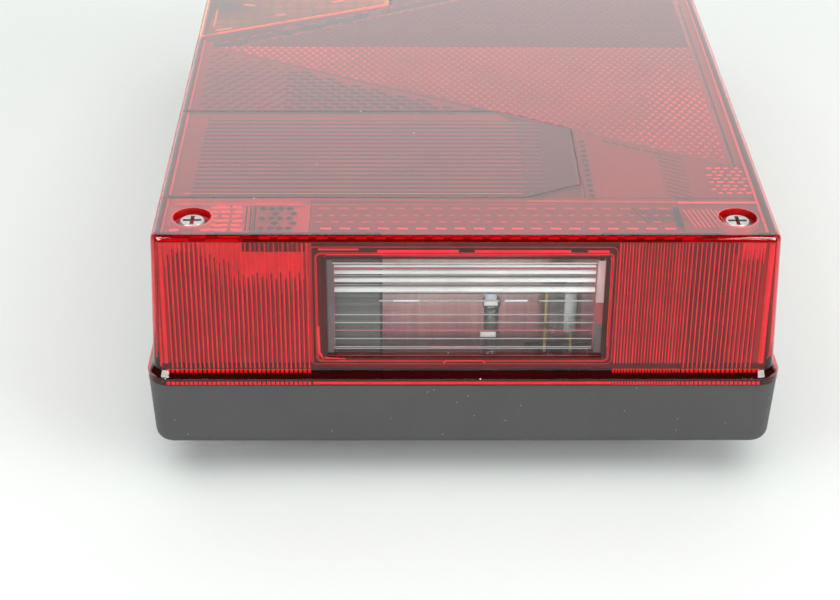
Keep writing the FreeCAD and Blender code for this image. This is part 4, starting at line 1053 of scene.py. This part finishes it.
def frame_ring(b, x0, x1, z0, z1, rc, r, depth, seg=4):
    pts = []
    for cx, cz, a0 in ((x1 - rc, z0 + rc, -90), (x1 - rc, z1 - rc, 0), (x0 + rc, z1 - rc, 90), (x0 + rc, z0 + rc, 180)):
        for k in range(5):
            a = math.radians(a0 + k * 22.5)
            pts.append(wall_point("near", cx + rc * math.cos(a), cz + rc * math.sin(a), depth))
    pts.append(pts[0])
    for p, q in zip(pts, pts[1:]):
        b.bar(p, q, r, up=(0, -1, 0), seg=seg, flat=0.5)


b = Build()
panel(b, "near", -19.0, -1.6, 47.75, 48.5, 0.95)
panel(b, "near", 1.8, 22.4, 47.8, 48.45, 0.95)
panel(b, "near", 26.0, 30.6, 47.75, 48.4, 0.95)
line(b, [wall_point("near", x, z, 0.95) for x, z in ((-30.0, 47.4), (30.6, 47.4))], 0.16, up=(0, -1, 0))
panel(b, "near", -31.6, -23.0, 48.4, 48.8, 0.95)
panel(b, "near", 30.85, 31.35, 25.0, 46.6, 0.95)
line(b, [wall_point("near", x, z, 0.9) for x, z in ((-32.0, 30.0), (-31.8, 23.4), (-30.9, 22.1), (-26.0, 21.7))], 0.30, up=(0, -1, 0))
line(b, [wall_point("near", x, z, 0.9) for x, z in ((-4.6, 20.7), (-4.0, 21.4), (4.0, 21.4), (4.6, 20.7))], 0.15, up=(0, -1, 0))
b.make("window_rim_bright", "hi")
b = Build()
frame_ring(b, -32.2, 31.5, 21.3, 47.6, 1.0, 0.30, 1.0)
frame_ring(b, -33.6, 32.4, 20.6, 49.2, 1.2, 0.13, 0.9)
b.make("window_rim_mid", "mid")
b = Build()
frame_ring(b, -30.9, 30.9, 21.9, 46.9, 0.8, 0.14, 0.6)
# two painted shadows on the rim's bright top band
for x in (0.0, 24.0):
    b.pillow(wall_point("near", x, 48.5, 0.8), (1, 0, 0), (0, 0, 1), (0, -1, 0), 1.5, 0.24, 0.1, grid=2)
b.make("window_rim_dark_and_painted_shadows", "dark")

# upper flutes: their near-white colour is a painted highlight for the light they catch from above
b = Build()
for zc, r in ((44.35, 0.30), (42.85, 0.50), (40.9, 0.54), (38.55, 0.66)):
    b.bar((-28.3, -116.0, zc), (28.0, -116.0, zc), r, up=(0, -0.62, 0.78), seg=6)
b.bar((-28.6, -116.4, 45.25), (28.2, -116.4, 45.25), 0.14, up=(0, -0.7, 0.7))
for x0, x1 in ((-15.6, -10.0), (8.6, 13.5)):
    b.bar((x0, -116.1, 35.75), (x1, -116.1, 35.75), 0.24, up=(0, -0.62, 0.78), seg=4)
b.bar((-29.9, -116.6, 22.0), (29.9, -116.6, 22.0), 0.16, up=(0, -0.7, 0.7))
b.make("window_flutes_painted_highlight", "flute", slot="clear_window", smooth=True)
b = Build()
for x0, x1 in ((-18.6, -15.7), (-9.9, 7.5), (16.1, 27.6)):
    b.bar((x0, -116.1, 35.75), (x1, -116.1, 35.75), 0.20, up=(0, -0.62, 0.78))
for zc in (32.16, 30.14, 26.07, 23.95, 23.5):
    b.bar((-28.3, -116.0, zc), (27.9, -116.0, zc), 0.115, up=(0, -0.7, 0.7), seg=3)
for zc in (39.55, 41.75, 43.65):
    b.bar((-28.3, -115.8, zc), (28.0, -115.8, zc), 0.2, up=(0, -0.7, 0.7), seg=3)
b.make("window_flute_lines", "grey", slot="clear_window")
b = Build()
b.bar((-28.3, -116.05, 43.72), (28.0, -116.05, 43.72), 0.12, up=(0, -1, 0))
b.bar((-28.3, -116.0, 28.16), (27.9, -116.0, 28.16), 0.115, up=(0, -0.7, 0.7))
b.bar((-8.0, -116.05, 23.72), (5.0, -116.05, 23.72), 0.10, up=(0, -0.7, 0.7))
b.bar((-28.45, -116.1, 23.4), (-28.45, -116.1, 45.0), 0.09, up=(0, -1, 0))
b.bar((28.15, -116.1, 23.4), (28.15, -116.1, 45.0), 0.09, up=(0, -1, 0))
b.make("window_pink_lines", "ruby", slot="clear_window")
b = Build()
b.pillow((-29.3, -116.3, 34.1), (1, 0, 0), (0, 0, 1), (0, -1, 0), 0.72, 11.9, 0.1)
b.pillow((29.2, -116.3, 26.2), (1, 0, 0), (0, 0, 1), (0, -1, 0), 0.85, 3.9, 0.1)
for zc in (39.6, 41.78, 37.55):
    b.bar((-28.3, -116.15, zc), (28.0, -116.15, zc), 0.10, up=(0, -1, 0), seg=3)
b.make("window_slate_bands", "slate", slot="clear_window")
b = Build()
b.pillow((29.2, -116.3, 40.6), (1, 0, 0), (0, 0, 1), (0, -1, 0), 0.85, 5.2, 0.1)
b.make("window_rosy_band", "rosy", slot="clear_window")
b = Build()
b.pillow((29.2, -116.3, 32.7), (1, 0, 0), (0, 0, 1), (0, -1, 0), 0.85, 2.6, 0.1)
b.make("window_plum_band", "plum", slot="clear_window")

# the panel behind the window; its pink band and streaks are painted red light from the lens, carried by its material
b = Build()
b.add([(x, y, z) for x in (-18.4, 30.4) for y in (-102.3, -102.15) for z in (12.8, 46.6)], [(0, 1, 3, 2), (4, 6, 7, 5), (0, 4, 5, 1), (2, 3, 7, 6), (0, 2, 6, 4), (1, 5, 7, 3)])
b.make("bulkhead_face_painted_red_light", "bulkhead", body="housing", slot="carrier_plastic")
b = Build()
b.add([(x, y, z) for x in (-30.4, -18.55) for y in (-113.2, -113.0) for z in (12.8, 46.6)], [(0, 1, 3, 2), (4, 6, 7, 5), (0, 4, 5, 1), (2, 3, 7, 6), (0, 2, 6, 4), (1, 5, 7, 3)])
b.make("side_screen", "side_wall", body="housing", slot="carrier_plastic")
# painted highlights on the metal post behind the window: pale pads for the light its metal mirrors
b = Build()
b.pillow((5.9, -110.05, 31.7), (1, 0, 0), (0, 0, 1), (0, -1, 0), 1.5, 0.75, 0.2, grid=4)
b.pillow((5.5, -110.05, 23.5), (1, 0, 0), (0, 0.3, 0.95), (0, -0.95, 0.3), 1.75, 0.62, 0.25, grid=4)
b.make("post_painted_highlights", "white", body="housing", slot="zinc_steel", smooth=True)
# painted bluish highlight on the post's head
b = Build()
b.pillow((5.9, -110.1, 33.35), (1, 0, 0), (0, 0, 1), (0, -1, 0), 1.3, 0.95, 0.25, grid=4)
b.make("post_head_painted_highlight", "bluish", body="housing", slot="zinc_steel", smooth=True)
# painted highlight down the plate bulb's glass, for the light the glass mirrors
b = Build()
b.bar((23.8, -108.5, 23.8), (23.8, -108.5, 36.6), 1.4, up=(0, -1, 0), seg=8, flat=0.9)
b.make("bulb_glass_painted_highlight", "white", body="plate_bulb", slot="bulb_glass", smooth=True)

# =====================================================================================
# stage, light and camera
# =====================================================================================
floor_z = cad_box[0][2]
me = bpy.data.meshes.new("floor")
me.from_pydata([(-4, -4, floor_z), (4, -4, floor_z), (4, 4, floor_z), (-4, 4, floor_z)], [], [(0, 1, 2, 3)])
floor = bpy.data.objects.new("floor", me)
bpy.context.scene.collection.objects.link(floor)
me.materials.append(solid("floor_paper", (0.885, 0.915, 0.905), 0.9, vary=0.01, vary_scale=3, grain=400, grain_strength=0.02, spec=0.0))

world = bpy.data.worlds.new("studio")
bpy.context.scene.world = world
world.use_nodes = True
bg = world.node_tree.nodes["Background"]
bg.inputs["Color"].default_value = (0.98, 1.0, 0.995, 1)
bg.inputs["Strength"].default_value = 0.05


def softbox(name, loc, target, sx, sy, radiance, diffuse=True, glossy=True, col=(1, 1, 1)):
    li = bpy.data.lights.new(name, "AREA")
    li.shape = "RECTANGLE"
    li.size, li.size_y = sx, sy
    li.energy = radiance * math.pi * sx * sy
    li.color = col
    ob = bpy.data.objects.new(name, li)
    bpy.context.scene.collection.objects.link(ob)
    ob.location = loc
    ob.rotation_euler = (Vector(target) - Vector(loc)).to_track_quat("-Z", "Y").to_euler()
    ob.visible_diffuse = diffuse
    ob.visible_glossy = glossy
    return ob


softbox("ceiling", (0.0, 0.1, 2.3), (0, 0.1, 0.0), 4.2, 4.2, 1.36, glossy=False, col=(0.985, 1.0, 0.985))
softbox("front_fill", (0.0, -2.2, 0.8), (0, -0.1, 0.0), 2.6, 1.4, 1.18, glossy=False, col=(1.0, 1.0, 1.0))
softbox("left_fill", (-1.8, -1.1, 0.62), (0, -0.1, 0.0), 1.6, 1.1, 3.5, glossy=False, col=(1.0, 1.0, 0.98))
softbox("right_fill", (1.8, -1.0, 0.62), (0, -0.1, 0.0), 1.6, 1.1, 5.4, glossy=False, col=(1.0, 1.0, 0.98))
softbox("back_fill", (0.0, 2.3, 0.9), (0, 0.1, 0.0), 3.4, 1.6, 0.55, glossy=False, col=(1.0, 1.0, 1.0))
softbox("backdrop", (0.0, 1.7, 0.95), (0, 0, 0.03), 4.2, 1.9, 2.70, diffuse=False)
softbox("left_window", (-0.72, -0.90, 0.85), (-0.066, -0.116, 0.02), 0.85, 0.60, 13.0, diffuse=False)
softbox("right_window", (0.72, -0.90, 0.85), (0.066, -0.116, 0.02), 0.85, 0.60, 13.0, diffuse=False)
softbox("left_high", (-0.71, -0.45, 1.15), (-0.71, -0.449, 0.0), 1.0, 0.46, 11.0, diffuse=False)
softbox("right_high", (0.77, -0.45, 1.15), (0.77, -0.449, 0.0), 1.0, 0.46, 11.0, diffuse=False)

cam = bpy.data.cameras.new("camera")
cam.sensor_width = 36.0
cam.lens = 80.02
cam.clip_start = 0.01
cam_ob = bpy.data.objects.new("camera", cam)
bpy.context.scene.collection.objects.link(cam_ob)
pitch_, yaw, roll = 0.53155, -0.014309, 0.0074045
fwd = Vector((-math.sin(yaw) * math.cos(pitch_), math.cos(yaw) * math.cos(pitch_), -math.sin(pitch_)))
right = Vector((math.cos(yaw), math.sin(yaw), 0))
up = right.cross(fwd)
right2 = right * math.cos(roll) + up * math.sin(roll)
up2 = -right * math.sin(roll) + up * math.cos(roll)
m = Matrix((right2, up2, -fwd)).transposed().to_4x4()
m.translation = Vector((-0.014786, -0.464755, 0.240963))
cam_ob.matrix_world = m
bpy.context.scene.camera = cam_ob
bpy.context.scene.view_settings.view_transform = "Standard"
bpy.context.scene.view_settings.look = "None"
